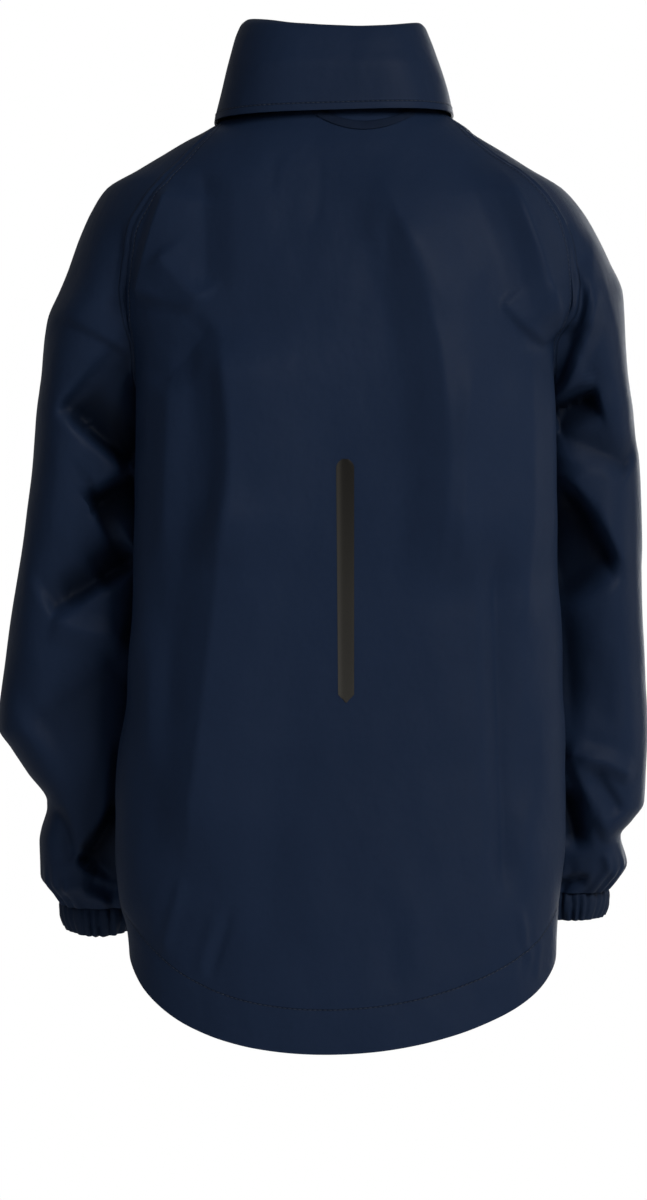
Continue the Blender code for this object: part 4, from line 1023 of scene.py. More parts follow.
def edge_distance(grid, column):
    """Distance of a grid's points from its first or last column, square to that edge."""
    steps = np.linalg.norm(np.diff(grid, axis=1), axis=-1)
    start = np.zeros((len(grid), 1))
    if column == 0:
        run = np.concatenate([start, np.cumsum(steps, axis=1)], axis=1)
        level = grid[:, 2] - grid[:, 0]
    else:
        run = np.concatenate([np.cumsum(steps[:, ::-1], axis=1)[:, ::-1], start], axis=1)
        level = grid[:, -3] - grid[:, -1]
    edge = unit(np.gradient(grid[:, column], axis=0))
    return run * np.linalg.norm(np.cross(edge, unit(level)), axis=-1)[:, None]


def pucker_waves(run, length, drift, pace):
    """Waves along a seam, uneven in length: they drift off an even beat and back."""
    turn = run * (math.tau / length)
    return np.sin(turn + drift * np.sin(turn * pace))


def seam_relief(distance, grid):
    """Height beside a seam: the groove, the lapped allowance and slight puckers."""
    groove = SEAM_GROOVE * bell(distance, 0.0, SEAM_GROOVE_WIDTH)
    band = SEAM_BAND * bell(distance, SEAM_BAND_PLACE, SEAM_BAND_WIDTH)
    run = grid[..., 2] + SEAM_PUCKER_SLANT * grid[..., 0]
    waves = pucker_waves(run, SEAM_PUCKER_LENGTH, *SEAM_PUCKER_DRIFT) * bell(distance, 0.0, SEAM_PUCKER_REACH)
    return band - groove + SEAM_PUCKER * waves * ease(distance / SEAM_BAND_PLACE)


def hem_relief(distance, grid):
    """Height beside a hem: a shallow trough along the stitches and slight puckers."""
    waves = pucker_waves(grid[..., 0], HEM_PUCKER_LENGTH, *HEM_PUCKER_DRIFT)
    puckers = HEM_PUCKER * waves * bell(distance, HEM_STITCH, HEM_PUCKER_REACH)
    return puckers - HEM_TROUGH * bell(distance, HEM_STITCH, HEM_TROUGH_WIDTH)


def line_at(grid, normals, distance, place, axis):
    """Points and directions where the distance from an edge reaches a place, one for each row or column."""
    points = []
    directions = []
    for number in range(grid.shape[1 - axis]):
        run, track, facing = (np.take(data, number, axis=1 - axis) for data in (distance, grid, normals))
        if run[0] > run[-1]:
            run, track, facing = run[::-1], track[::-1], facing[::-1]
        points.append(read_along(track, run, place))
        directions.append(read_along(facing, run, place))
    return np.array(points), np.array(directions)


def stitch_corners(points, directions, run, middle):
    """Corners of one short thread that lies along a line at a distance from its start, ring by ring."""
    centre = read_along(points, run, middle)
    along = unit(read_along(points, run, middle + STITCH_AIM) - read_along(points, run, middle - STITCH_AIM))
    up = unit(read_along(directions, run, middle))
    side = np.cross(along, up)
    corners = []
    for place, size in STITCH_RINGS:
        ring = centre + along * place * STITCH_LENGTH / 2.0 + up * STITCH_RADIUS * (size - STITCH_SINK)
        for turn in math.tau * np.arange(STITCH_SIDES) / STITCH_SIDES:
            corners.append(ring + (math.cos(turn) * up + math.sin(turn) * side) * STITCH_RADIUS * size)
    return corners


def add_stitches(name, lines, surface):
    """Short threads laid end to end along lines of points and directions."""
    vertices = []
    faces = []
    size = len(STITCH_RINGS) * STITCH_SIDES
    for points, directions in lines:
        run = distance_along(points)
        for middle in np.arange(STITCH_PITCH / 2.0, run[-1] - STITCH_PITCH / 2.0, STITCH_PITCH):
            first = len(vertices)
            vertices.extend(stitch_corners(points, directions, run, middle))
            faces.extend(rings_to_faces(first, len(STITCH_RINGS), STITCH_SIDES, False))
            faces.append(tuple(range(first + STITCH_SIDES - 1, first - 1, -1)))
            faces.append(tuple(range(first + size - STITCH_SIDES, first + size)))
    mesh = new_mesh(name, vertices, faces)
    mesh.shade_smooth()
    return link(name, mesh, surface)


# =========================================================================== materials
class Shader:
    """A Principled material and short calls to add nodes to it."""

    def __init__(self, name, colour, roughness):
        self.colour = colour
        self.material = bpy.data.materials.new(name)
        self.material.use_nodes = True
        self.material.diffuse_color = (*colour, 1.0)
        self.tree = self.material.node_tree
        self.main = self.tree.nodes["Principled BSDF"]
        self.main.inputs["Base Color"].default_value = (*colour, 1.0)
        self.main.inputs["Roughness"].default_value = roughness

    def add(self, kind, inputs=(), **settings):
        """A node; its inputs are values or other nodes' outputs, by place or name."""
        made = self.tree.nodes.new(kind)
        for key, value in settings.items():
            setattr(made, key, value)
        for key, value in dict(inputs).items():
            if isinstance(value, bpy.types.NodeSocket):
                self.tree.links.new(value, made.inputs[key])
            else:
                made.inputs[key].default_value = value
        return made

    def math(self, operation, first, second=0.0):
        """Output of one math node."""
        return self.add("ShaderNodeMath", {0: first, 1: second}, operation=operation).outputs[0]

    def bell(self, value, place, width):
        """1 where a value is at a place, falling to 0 within a width or two."""
        off = self.math("DIVIDE", self.math("SUBTRACT", value, place), width)
        return self.math("EXPONENT", self.math("MULTIPLY", self.math("MULTIPLY", off, off), -1.0))

    def noise(self, scale, detail, stretch=(1.0, 1.0, 1.0)):
        """Noise over the object's own metres."""
        place = self.add("ShaderNodeTexCoord").outputs["Object"]
        placed = self.add("ShaderNodeMapping", {"Vector": place, "Scale": stretch}).outputs[0]
        values = {"Vector": placed, "Scale": scale, "Detail": detail}
        return self.add("ShaderNodeTexNoise", values).outputs["Fac"]

    def uneven(self, noise, low, spread):
        """A number that follows a noise, from low to low plus spread."""
        return self.math("ADD", low, self.math("MULTIPLY", noise, spread))

    def mark(self, label):
        """A mark that the mesh holds at each of its points."""
        return self.add("ShaderNodeAttribute", attribute_name=label).outputs["Fac"]

    def flat_place(self):
        """Places across and along the cloth's flat map, in centimetres."""
        flat = self.add("ShaderNodeUVMap", uv_map="flat").outputs[0]
        return self.add("ShaderNodeSeparateXYZ", {0: flat}).outputs[:2]

    def weave(self, pitch):
        """Plain weave over the flat map: 0 to 1, high where a thread lies on top."""
        turns = math.tau * MM_PER_CM / pitch
        warp, weft = (self.math("SINE", self.math("MULTIPLY", place, turns)) for place in self.flat_place())
        return self.uneven(self.math("MULTIPLY", warp, weft), low=0.5, spread=0.5)

    def darkened(self, tone, where, share):
        """A tone made darker by a share where another value is 1."""
        return self.math("MULTIPLY", tone, self.math("SUBTRACT", 1.0, self.math("MULTIPLY", where, share)))

    def bump(self, height, metres, below=None):
        """Bump of a height in metres on top of another bump."""
        values = {"Height": height, "Distance": metres, "Strength": 1.0}
        if below is not None:
            values["Normal"] = below
        return self.add("ShaderNodeBump", values).outputs["Normal"]

    def paint(self, tone):
        """Set the base colour to the material's colour times a tone."""
        inputs = {0: self.colour, "Scale": tone}
        scaled = self.add("ShaderNodeVectorMath", inputs, operation="SCALE").outputs[0]
        self.tree.links.new(scaled, self.main.inputs["Base Color"])

    def roughen(self, noise, roughness):
        """Let the roughness follow a noise round its even value."""
        rough = self.uneven(noise, low=roughness - ROUGHNESS_BELOW, spread=ROUGHNESS_SPREAD)
        self.tree.links.new(rough, self.main.inputs["Roughness"])

    def finish(self, normal, values=()):
        """Set the normal, and inputs that are the same all over; returns the finished material."""
        self.tree.links.new(normal, self.main.inputs["Normal"])
        for name, value in dict(values).items():
            self.main.inputs[name].default_value = value
        return self.material


def cloth(name, colour, roughness):
    """Coated plain weave: stitch lines, small creases, the weave, a slightly uneven colour, and painted shade
    where a sleeve is folded in deep.
    """
    made = Shader(name, colour, roughness)
    tone = made.uneven(made.noise(scale=7.0, detail=3.0), low=0.83, spread=0.22)
    grain = made.uneven(made.noise(scale=420.0, detail=2.0), low=-0.07, spread=0.14)
    seam_line = made.bell(made.mark("seam"), TOPSTITCH, STITCH_LINE_WIDTH)
    lines = made.math("ADD", seam_line, made.bell(made.mark("hem"), HEM_STITCH, STITCH_LINE_WIDTH))
    tone = made.darkened(made.math("ADD", tone, grain), lines, STITCH_LINE_SHADE)
    # painted shade: the colour is made darker where the fold mark says a sleeve's back is folded in deep, in
    # place of the shadow there
    made.paint(made.darkened(tone, made.mark("fold"), PAINTED_FOLD_SHADE))
    made.roughen(made.noise(scale=34.0, detail=3.0), roughness)
    normal = made.bump(made.noise(scale=26.0, detail=3.0, stretch=(1.0, 1.0, 0.6)), metres=0.0016)
    normal = made.bump(made.noise(scale=120.0, detail=2.0), metres=0.00022, below=normal)
    normal = made.bump(lines, metres=-0.0003, below=normal)
    normal = made.bump(made.weave(WEAVE_PITCH), metres=0.00003, below=normal)
    return made.finish(normal, {"Specular IOR Level": 0.06})


def tape(name, colour, roughness, pitch, metres):
    """Woven tape with ribs along it, and slow unevenness of a depth in metres."""
    made = Shader(name, colour, roughness)
    made.paint(made.uneven(made.noise(scale=160.0, detail=2.0), low=0.8, spread=0.4))
    normal = made.bump(made.noise(scale=90.0, detail=2.0), metres)
    normal = made.bump(made.weave(pitch), metres=0.00008, below=normal)
    return made.finish(normal, {"Specular IOR Level": 0.08})


def film(name, colour, roughness):
    """Reflective film: tiny glass beads in a dark binder, with a painted highlight along one edge, and
    lighter towards the end.
    """
    made = Shader(name, colour, roughness)
    beads = made.noise(scale=2600.0, detail=1.0)
    across, along = made.flat_place()
    # painted highlight: a band along one edge is made lighter in the colour
    edge = made.bell(across, FILM_EDGE, FILM_EDGE_WIDTH)
    fall = made.math("MULTIPLY", along, FILM_FALL)
    light = made.math("ADD", made.math("MULTIPLY", edge, FILM_PAINTED_HIGHLIGHT), fall)
    made.paint(made.math("ADD", made.uneven(beads, low=1.2, spread=0.4), light))
    return made.finish(made.bump(beads, metres=0.00005), {"Specular IOR Level": 0.05})


def metal(name, colour, roughness):
    """Painted die-cast metal with a slightly uneven satin face."""
    made = Shader(name, colour, roughness)
    grain = made.noise(scale=900.0, detail=3.0)
    made.paint(made.uneven(grain, low=0.85, spread=0.3))
    made.roughen(made.noise(scale=300.0, detail=2.0), roughness)
    return made.finish(made.bump(grain, metres=0.00003), {"Metallic": 0.6})


def thread_surface(name, colour, roughness):
    """Twisted sewing thread."""
    made = Shader(name, colour, roughness)
    made.paint(made.uneven(made.noise(scale=1500.0, detail=1.0), low=0.7, spread=0.6))
    return made.finish(made.bump(made.noise(scale=2400.0, detail=1.0), metres=0.0001))


def edge_marks(grid):
    """Distances from the nearer side edge, and from the bottom edge."""
    seam = np.minimum(edge_distance(grid, 0), edge_distance(grid, -1))
    hem = edge_distance(grid.transpose(1, 0, 2), 0).T
    return seam, hem


def painted_fold_shade(side, grid):
    """Painted shade in a sleeve's deep folds, from 0 to 1: how deep its back is folded in, which the material
    turns into a darker colour.
    """
    table = LEFT_SLEEVE_CREASES if side > 0 else RIGHT_SLEEVE_CREASES
    height = crease_height(table, *seen_from_behind(grid))
    middle = SLEEVES[side].at("middle", grid[..., 2])
    return ease((-height - FOLD_START) / FOLD_FULL) * ease((grid[..., 1] - middle + FOLD_BACK) / FOLD_BACK)


def panel_grids():
    """Outer faces of the back, the fronts and the sleeves, which share their seams."""
    grids = {
        "back": body_grid(left_back_seam, right_back_seam, BACK_COLUMNS),
        "left_front": body_grid(left_front_edge, left_front_seam, FRONT_COLUMNS),
        "right_front": body_grid(right_front_seam, right_front_edge, FRONT_COLUMNS),
    }
    yoke = slice(LOWER_ROWS, None)
    seams = (grids["left_front"][yoke, -1], grids["back"][yoke, 0])
    grids["left"] = sleeve_grid(1, *seams, LEFT_WRIST, LEFT_WRIST_TILT)
    seams = (grids["right_front"][yoke, 0], grids["back"][yoke, -1])
    grids["right"] = sleeve_grid(-1, *seams, RIGHT_WRIST, RIGHT_WRIST_TILT)
    return grids


def panel_normals(grids):
    """Outward directions of the panels, one and the same on both sides of a seam that lies flush."""
    joined = {"left": TUBE_ROWS + 1, "right": TUBE_ROWS + 1}
    normals = {name: outward(grid, joined.get(name, 0)) for name, grid in grids.items()}
    side_rows = slice(0, LOWER_ROWS + 1)
    raglan = slice(-YOKE_ROWS, None)
    seams = (
        (side_rows, "back", 0, "left_front", -1),
        (side_rows, "back", -1, "right_front", 0),
        (raglan, "back", 0, "left", -1),
        (raglan, "back", -1, "right", 0),
        (raglan, "left_front", -1, "left", 0),
        (raglan, "right_front", 0, "right", -1),
    )
    for rows, first, first_column, second, second_column in seams:
        share_direction(normals[first][rows, first_column], normals[second][rows, second_column])
    return normals


def stitch_lines(key, grid, shaped, normals, hem):
    """Lines of stitches on a body panel: along the hem, and one beside each side edge."""
    free = slice(HEM_STITCH_START, -HEM_STITCH_START)
    lines = [[data[free] for data in line_at(shaped, normals, hem, HEM_STITCH, 0)]]
    for column in (0, -1):
        near = edge_distance(grid, column)
        bottom = LOWER_ROWS if key == "back" or column == raglan_column(key) else 0
        free = slice(bottom, -TOPSTITCH_END)
        lines.append([data[free] for data in line_at(shaped, normals, near, TOPSTITCH, 1)])
    return lines


def make_body_panel(key, name, node, grid, normals, surface, thread):
    """Back or front panel, thicker at its turned hem, with its stitches."""
    seam, hem = edge_marks(grid)
    shaped = grid + (seam_relief(seam, grid) + hem_relief(hem, grid))[..., None] * normals
    thickness = CLOTH + HEM_EXTRA * ease((HEM_STITCH + HEM_STEP / 2.0 - hem) / HEM_STEP)
    marks = {"seam": seam, "hem": hem}
    made = add_wall(name, shaped, normals, thickness, surface, marks=marks)
    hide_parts(node)
    lines = stitch_lines(key, grid, shaped, normals, hem)
    threads = add_stitches(name + "_stitches", lines, thread)


def make_sleeve(side, name, node, grid, normals, surface):
    """Sleeve, a closed ring up to the underarm and open at its raglan seams above."""
    seam = edge_marks(grid)[0]
    shaped = grid + seam_relief(seam, grid)[..., None] * normals
    # the fold mark holds painted shade for the material: how much to darken the colour in the deep folds
    marks = {"seam": seam, "hem": np.full_like(seam, NO_MARK), "fold": painted_fold_shade(side, grid)}
    made = add_wall(name, shaped, normals, CLOTH, surface, TUBE_ROWS + 1, marks)
    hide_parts(node)


def make_panels(body_cloth, sleeve_cloth, thread):
    """Back, fronts and sleeves: grids first, so that seams can share their points and directions."""
    grids = panel_grids()
    normals = panel_normals(grids)
    for key, name, node in (
        ("back", "back_cloth", "back_panel"),
        ("left_front", "front_left_cloth", "front_left"),
        ("right_front", "front_right_cloth", "front_right"),
    ):
        make_body_panel(key, name, node, grids[key], normals[key], body_cloth, thread)
    for side, key in ((1, "left"), (-1, "right")):
        make_sleeve(side, f"sleeve_{key}_cloth", f"sleeve_{key}", grids[key], normals[key], sleeve_cloth)


def raglan_column(key):
    """Which side edge of a front panel is its raglan seam."""
    return -1 if key == "left_front" else 0


def cuff_ripple(angles, share):
    """Gathers of an elastic cuff: round ridges, sharp valleys, uneven in width and depth."""
    turn = with_waves(CUFF_GATHERS * angles / 2.0, angles, CUFF_DRIFT)
    ridge = CUFF_RIDGE * np.sqrt(np.cos(turn) ** 2 + CUFF_RIDGE_SOFTNESS) - CUFF_RIDGE_SINK
    slant = CUFF_SMALL_SLANT * share + CUFF_SMALL_START
    small = CUFF_SMALL_DEPTH * np.cos(CUFF_GATHERS * CUFF_SMALL_PACE * angles + slant)
    waist = 1.0 - CUFF_WAIST * bell(share, 0.5, CUFF_WAIST_WIDTH)
    return CUFF_GATHER_DEPTH * with_waves(CUFF_EVEN_SHARE, angles, CUFF_UNEVEN) * waist * (ridge + small)


def make_cuff(name, node, side, wrist, tilt, length, surface):
    """Short elastic band, gathered all round, under the end of a sleeve."""
    middle, half = sleeve_section(side, wrist)
    angles = np.linspace(-math.pi, math.pi, CUFF_COLUMNS + 1)
    rows = []
    for step in range(CUFF_ROWS + 1):
        share = step / CUFF_ROWS
        tuck = share**CUFF_TUCK_POWER
        swell = CUFF_SWELL * math.sin(math.pi * share) - CUFF_PULL_IN * (1.0 - share) ** 2 - CUFF_SQUEEZE
        ripple = swell - CUFF_TUCK * tuck + cuff_ripple(angles, share) * (1.0 - CUFF_TUCK_CALM * tuck)
        x = middle[0] + (half[0] + ripple) * np.cos(angles)
        y = middle[1] + (half[1] + ripple) * np.sin(angles)
        z = np.full_like(angles, wrist + CUFF_OVERLAP - (length + CUFF_OVERLAP) * (1.0 - share))
        rows.append(tilted(np.stack([x, y, z], axis=-1), side, wrist, tilt, 1.0))
    grid = mirrored(np.array(rows), side)
    grid = grid if side > 0 else grid[:, ::-1]
    joined = CUFF_ROWS + 1
    made = add_wall(name, grid, outward(grid, joined), CUFF_CLOTH, surface, joined)
    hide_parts(node)


def collar_grid():
    """Visible side of the collar, from the fall's free edge over the top and down inside to the neck."""
    end = math.radians(COLLAR_END_ANGLE)
    angles = np.linspace(-math.pi / 2.0 + end, math.pi * 1.5 - end, COLLAR_COLUMNS + 1)
    sine = np.sin(angles)
    is_back = sine > 0
    rows = []
    for place in np.linspace(COLLAR.places[0], COLLAR.places[-1], COLLAR_ROWS + 1):
        side_z = COLLAR.at("side_z", place)
        lift = np.where(is_back, COLLAR.at("back_z", place), COLLAR.at("front_z", place)) - side_z
        reach = np.where(is_back, COLLAR.at("back", place), -COLLAR.at("front", place))
        wave_share = math.sin(math.pi * min(place / COLLAR_TOP_PLACE, 1.0))
        wave = COLLAR_WAVE_DEPTH * wave_share * np.sin(angles * COLLAR_WAVES)
        power = 2.0 / np.where(is_back, COLLAR_SQUARENESS, 2.0)
        cosine = signed_power(np.cos(angles), power)
        x = COLLAR.at("centre", place) * np.abs(cosine) + COLLAR.at("half_width", place) * cosine
        y = (reach + wave) * signed_power(sine, power)
        z = side_z + lift * sine**2 + COLLAR.at("lean", place) * cosine
        rows.append(np.stack([x, y, z], axis=-1))
    return np.array(rows)


def make_collar(surface, thread):
    """Tall collar of one folded wall, open at the zip and under the fall; the loop hangs from it."""
    grid = collar_grid()
    normals = outward(grid)
    ends, rim = edge_marks(grid)
    height = COLLAR_CRUMPLE * crumple(grid) * ease(rim / COLLAR_CRUMPLE_START)
    height = height + COLLAR_ROLL * bell(rim, COLLAR_ROLL_PLACE, COLLAR_ROLL_WIDTH)
    grid = grid + height[..., None] * normals
    marks = {"seam": np.minimum(rim, ends), "hem": np.full_like(rim, NO_MARK)}
    made = add_wall("collar_cloth", grid, normals, COLLAR_CLOTH, surface, marks=marks)
    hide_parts("collar")
    line = line_at(grid, normals, rim, TOPSTITCH, 0)
    threads = add_stitches("collar_stitches", [line], thread)


# =========================================================================== pieces on the back
def back_face_point(x, z):
    """Point and outward direction on the creased back panel at a place seen from behind."""
    across = (x - BODY.at("centre", z)) / BODY.at("half_width", z)
    angles = np.arccos(signed_power(across, BACK_SQUARENESS / 2.0))
    return body_skin(angles, z), body_outward(angles, z)


def make_strip(surface):
    """Bonded strip with a rounded top and a blunt point below, its face slightly domed at the edges."""
    down = np.linspace(STRIP_LENGTH, 0.0, STRIP_ROWS + 1)
    from_top = (1.0 - down / STRIP_ROUND_TOP).clip(0.0, 1.0)
    top_round = np.sqrt(np.clip(1.0 - from_top**2, STRIP_TIP_WIDTH, 1.0))
    point = np.clip((STRIP_LENGTH - down) / STRIP_POINT, STRIP_TIP_WIDTH, 1.0)
    taper = STRIP_BOTTOM_HALF_WIDTH - STRIP_TOP_HALF_WIDTH
    half_width = (STRIP_TOP_HALF_WIDTH + taper * down / STRIP_LENGTH) * top_round * point
    middle = STRIP_TOP_X + STRIP_LEAN * down / STRIP_LENGTH
    across = np.linspace(1.0, -1.0, STRIP_COLUMNS + 1)
    x = middle[:, None] + half_width[:, None] * across
    z = np.repeat((STRIP_TOP - down)[:, None], len(across), axis=1)
    points, direction = back_face_point(x, z)
    lift = STRIP_THICKNESS * (1.0 - STRIP_DOME * across**STRIP_DOME_POWER)
    grid = points + direction * lift[None, :, None]
    made = add_wall("strip_film", grid, direction, STRIP_THICKNESS + STRIP_BED, surface)
    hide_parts("reflective_strip")


def make_loop(surface):
    """Narrow tape that hangs in a shallow crescent from under the collar."""
    across = np.linspace(1.0, -1.0, LOOP_COLUMNS + 1)
    x = LOOP_MIDDLE_X + LOOP_HALF_SPAN * across
    low = LOOP_TOP - LOOP_DROP * (1.0 - across**2)
    share = np.linspace(0.0, 1.0, LOOP_ROWS + 1)[:, None]
    z = low - LOOP_TAPE * (1.0 - share)
    points, direction = back_face_point(np.broadcast_to(x, z.shape), z)
    lift = LOOP_STAND_OFF + LOOP_THICKNESS * (1.0 - LOOP_DOME * (2.0 * share - 1.0) ** LOOP_DOME_POWER)
    grid = points + direction * lift[..., None]
    made = add_wall("loop_tape", grid, direction, LOOP_THICKNESS, surface)
    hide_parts("hanger_loop")
    return made


# =========================================================================== zip
def zip_line():
    """Outer face at the zip from hem to collar top, as rows of y, z and the panel's bend across."""
    heights = np.concatenate([np.linspace(SIDE_HEM + ZIP_HEM_MARGIN, UNDERARM, ZIP_ROWS), yoke_levels()[1:]])
    angles = (left_front_edge(heights) + right_front_edge(heights)) / 2.0
    points = body_skin(angles, heights)
    bend = body_depth(False, heights) / (2.0 * BODY.at("half_width", heights) ** 2)
    front = np.stack([points[:, 1], points[:, 2], bend], axis=-1)
    stand = np.linspace(ZIP_COLLAR_START, ZIP_COLLAR_END, ZIP_COLLAR_ROWS)
    stand_y = COLLAR.at("front", stand) - COLLAR_CLOTH
    stand_bend = -stand_y / (2.0 * COLLAR.at("half_width", stand) ** 2)
    return np.concatenate([front, np.stack([stand_y, COLLAR.at("front_z", stand), stand_bend], axis=-1)])


def zip_outward(line):
    """Outward direction of the zip line, as rows of y and z."""
    return unit(quarter_turn(np.gradient(line[:, :2], axis=0)))


def make_zip_tape(surface):
    """Woven tape behind the front edges."""
    line = zip_line()
    moved = line[:, :2] - (CLOTH + TAPE_STAND_OFF) * zip_outward(line)
    x = np.linspace(-TAPE_HALF_WIDTH, TAPE_HALF_WIDTH, ZIP_COLUMNS + 1)
    y = moved[:, :1] + line[:, 2:] * x**2
    z = np.repeat(moved[:, 1:], len(x), axis=1)
    grid = np.stack([np.broadcast_to(x, y.shape), y, z], axis=-1)
    made = add_wall("zip_tape_cloth", grid, outward(grid), TAPE_THICKNESS, surface)
    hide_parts("zip_tape")


def add_solid(name, vertices, faces, surface, slot, body="coat"):
    """Hard piece from its vertices and faces in millimetres."""
    mesh = new_mesh(name, vertices, faces)
    turned = bmesh.new()
    turned.from_mesh(mesh)
    bmesh.ops.recalc_face_normals(turned, faces=turned.faces)
    turned.to_mesh(mesh)
    turned.free()
    mesh.shade_smooth()
    mesh.set_sharp_from_angle(angle=math.radians(HARD_ANGLE))
    return link(name, mesh, surface, body)


def inset(outline, amount):
    """Outline moved inwards; the outline is closed and runs anticlockwise."""
    run = unit(np.roll(outline, -1, axis=0) - np.roll(outline, 1, axis=0))
    return outline + amount * quarter_turn(run)


def rings_to_faces(first, count, size, closed):
    """Faces between rings of points that follow one another."""
    faces = []
    for ring in range(count if closed else count - 1):
        near = first + ring * size
        far = first + (ring + 1) % count * size
        for corner in range(size):
            beside = (corner + 1) % size
            faces.append((near + corner, near + beside, far + beside, far + corner))
    return faces


def ring_points(rings, axis):
    """Points of outlines that lie at levels along an axis, ring after ring."""
    points = []
    for ring, level in rings:
        for first, second in ring:
            points.append((first, level, second) if axis == "y" else (level, first, second))
    return points


def plate(outline, low, high, bevel, axis):
    """Vertices and faces of a plate with rounded edges; the outline lies across the axis."""
    slim = inset(outline, bevel)
    rings = ((slim, low), (outline, low + bevel), (outline, high - bevel), (slim, high))
    size = len(outline)
    faces = rings_to_faces(0, len(rings), size, False)
    faces.append(tuple(range(size - 1, -1, -1)))
    faces.append(tuple(range((len(rings) - 1) * size, len(rings) * size)))
    return ring_points(rings, axis), faces


def holed_plate(outline, hole, low, high, bevel, axis):
    """Vertices and faces of a plate with a hole; both outlines have the same number of points."""
    wide = inset(hole, -bevel)
    slim = inset(outline, bevel)
    rings = (
        (slim, low), (outline, low + bevel), (outline, high - bevel), (slim, high),
        (wide, high), (hole, high - bevel), (hole, low + bevel), (wide, low),
    )
    return ring_points(rings, axis), rings_to_faces(0, len(rings), len(outline), True)


def joined_parts(parts):
    """One list of vertices and faces from several."""
    vertices = []
    faces = []
    for part_vertices, part_faces in parts:
        first = len(vertices)
        vertices.extend(part_vertices)
        faces.extend(tuple(corner + first for corner in face) for face in part_faces)
    return vertices, faces


def rounded(half_width, top, bottom, power, count, middle=0.0):
    """Rounded rectangle as a closed anticlockwise outline."""
    turn = full_turn(count)
    x = middle + half_width * signed_power(np.cos(turn), 2.0 / power)
    z = (top + bottom) / 2.0 + (top - bottom) / 2.0 * signed_power(np.sin(turn), 2.0 / power)
    return np.stack([x, z], axis=-1)


def ellipse(middle, half_width, half_height, turn):
    """Points of an ellipse at turns round its middle."""
    return np.asarray(middle) + np.stack([half_width * np.cos(turn), half_height * np.sin(turn)], axis=-1)


def waisted(rows, count):
    """Closed anticlockwise outline, the same on both sides, from a table of heights and half widths."""
    table = Sections(("height", "half_width"), rows)
    turn = np.linspace(0.0, math.pi, count // 2)
    low, high = table.places[0], table.places[-1]
    z = (low + high) / 2.0 - (high - low) / 2.0 * np.cos(turn)
    x = table.at("half_width", z)
    return np.concatenate([np.stack([x, z], axis=-1), np.stack([-x, z], axis=-1)[::-1]])


def rod(radius, half_length, y, z, sides):
    """Vertices and faces of a rod along X."""
    outline = ellipse((y, z), radius, radius, full_turn(sides))
    return plate(outline, -half_length, half_length, radius * ROD_BEVEL_SHARE, "x")


def make_teeth(surface):
    """Moulded teeth, left and right in turn."""
    line = zip_line()
    direction = zip_outward(line)
    run = distance_along(line[:, :2])
    outline = rounded(TOOTH_LENGTH / 2.0, TOOTH_HEIGHT / 2.0, -TOOTH_HEIGHT / 2.0, power=3.5, count=12)
    shape, faces = plate(outline, TOOTH_SINK, TOOTH_SINK + TOOTH_DEPTH, TOOTH_BEVEL, "y")
    parts = []
    for number, place in enumerate(np.arange(TOOTH_PITCH, run[-1] - TOOTH_PITCH, TOOTH_PITCH / 2.0)):
        y, z = read_along(line[:, :2], run, place)
        out_y, out_z = read_along(direction, run, place)
        shift = TOOTH_OFFSET if number % 2 else -TOOTH_OFFSET
        placed = [
            (x + shift, y - depth * out_y + up * out_z, z - depth * out_z - up * out_y)
            for x, depth, up in shape
        ]
        parts.append((placed, faces))
    made = add_solid("zip_teeth", *joined_parts(parts), surface, "zip_metal")
    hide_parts("zip_chain")


def make_slider(surface):
    """Slider with its bridge and pin."""
    outline = waisted(SLIDER_OUTLINE, count=64)
    parts = [
        plate(outline, SLIDER_FACE, SLIDER_BACK, SLIDER_BEVEL, "y"),
        rod(PIN_RADIUS, LUG_INNER + LUG_WIDTH / 2.0, HINGE_Y, HINGE_Z, sides=20),
    ]
    ends = (HINGE_Z + LUG_HALF_HEIGHT, HINGE_Z - LUG_HALF_HEIGHT)
    lug = rounded(LUG_HALF_DEPTH, *ends, power=2.6, count=32, middle=LUG_MIDDLE_Y)
    for low in (LUG_INNER, -LUG_INNER - LUG_WIDTH):
        parts.append(plate(lug, low, low + LUG_WIDTH, LUG_BEVEL, "x"))
    made = add_solid("zip_slider_body", *joined_parts(parts), surface, "zip_metal")
    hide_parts("zip_slider")


def make_box(surface):
    """Box at the bottom of the zip, with a ridge down its face."""
    box = rounded(BOX_HALF_WIDTH, BOX_TOP, BOX_BOTTOM, power=5.0, count=40)
    ends = (BOX_TOP - RIDGE_MARGIN, BOX_BOTTOM + RIDGE_MARGIN)
    ridge = rounded(RIDGE_HALF_WIDTH, *ends, power=3.0, count=24)
    parts = [
        plate(box, BOX_FACE, BOX_BACK, BOX_BEVEL, "y"),
        plate(ridge, BOX_FACE - RIDGE_HEIGHT, BOX_BACK, RIDGE_BEVEL, "y"),
    ]
    made = add_solid("zip_end_box", *joined_parts(parts), surface, "zip_metal")
    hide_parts("zip_box")


def make_pull_tab(surface):
    """Pull tab: a knuckle round the slider's pin, a narrow neck and a plate with a slot in it."""
    outline = waisted(TAB_OUTLINE, count=64) + np.array([0.0, HINGE_Z])
    middle = np.array([0.0, HINGE_Z + TAB_SLOT_MIDDLE])
    toward = outline - middle
    turn = np.arctan2(toward[:, 1], toward[:, 0])
    slot = ellipse(middle, TAB_SLOT_HALF_WIDTH, TAB_SLOT_HALF_HEIGHT, turn)
    face = HINGE_Y - KNUCKLE_RADIUS
    pin = (HINGE_Y, HINGE_Z)
    outside = ellipse(pin, KNUCKLE_RADIUS, KNUCKLE_RADIUS, full_turn(KNUCKLE_SIDES))
    bore = ellipse(pin, KNUCKLE_BORE, KNUCKLE_BORE, full_turn(KNUCKLE_SIDES))
    parts = [
        holed_plate(outline, slot, face, face + TAB_THICKNESS, TAB_BEVEL, "y"),
        holed_plate(outside, bore, -KNUCKLE_HALF, KNUCKLE_HALF, KNUCKLE_BEVEL, "x"),
    ]
    made = add_solid("zip_pull", *joined_parts(parts), surface, "zip_metal", "pull_tab")
    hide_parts("zip_pull_tab")


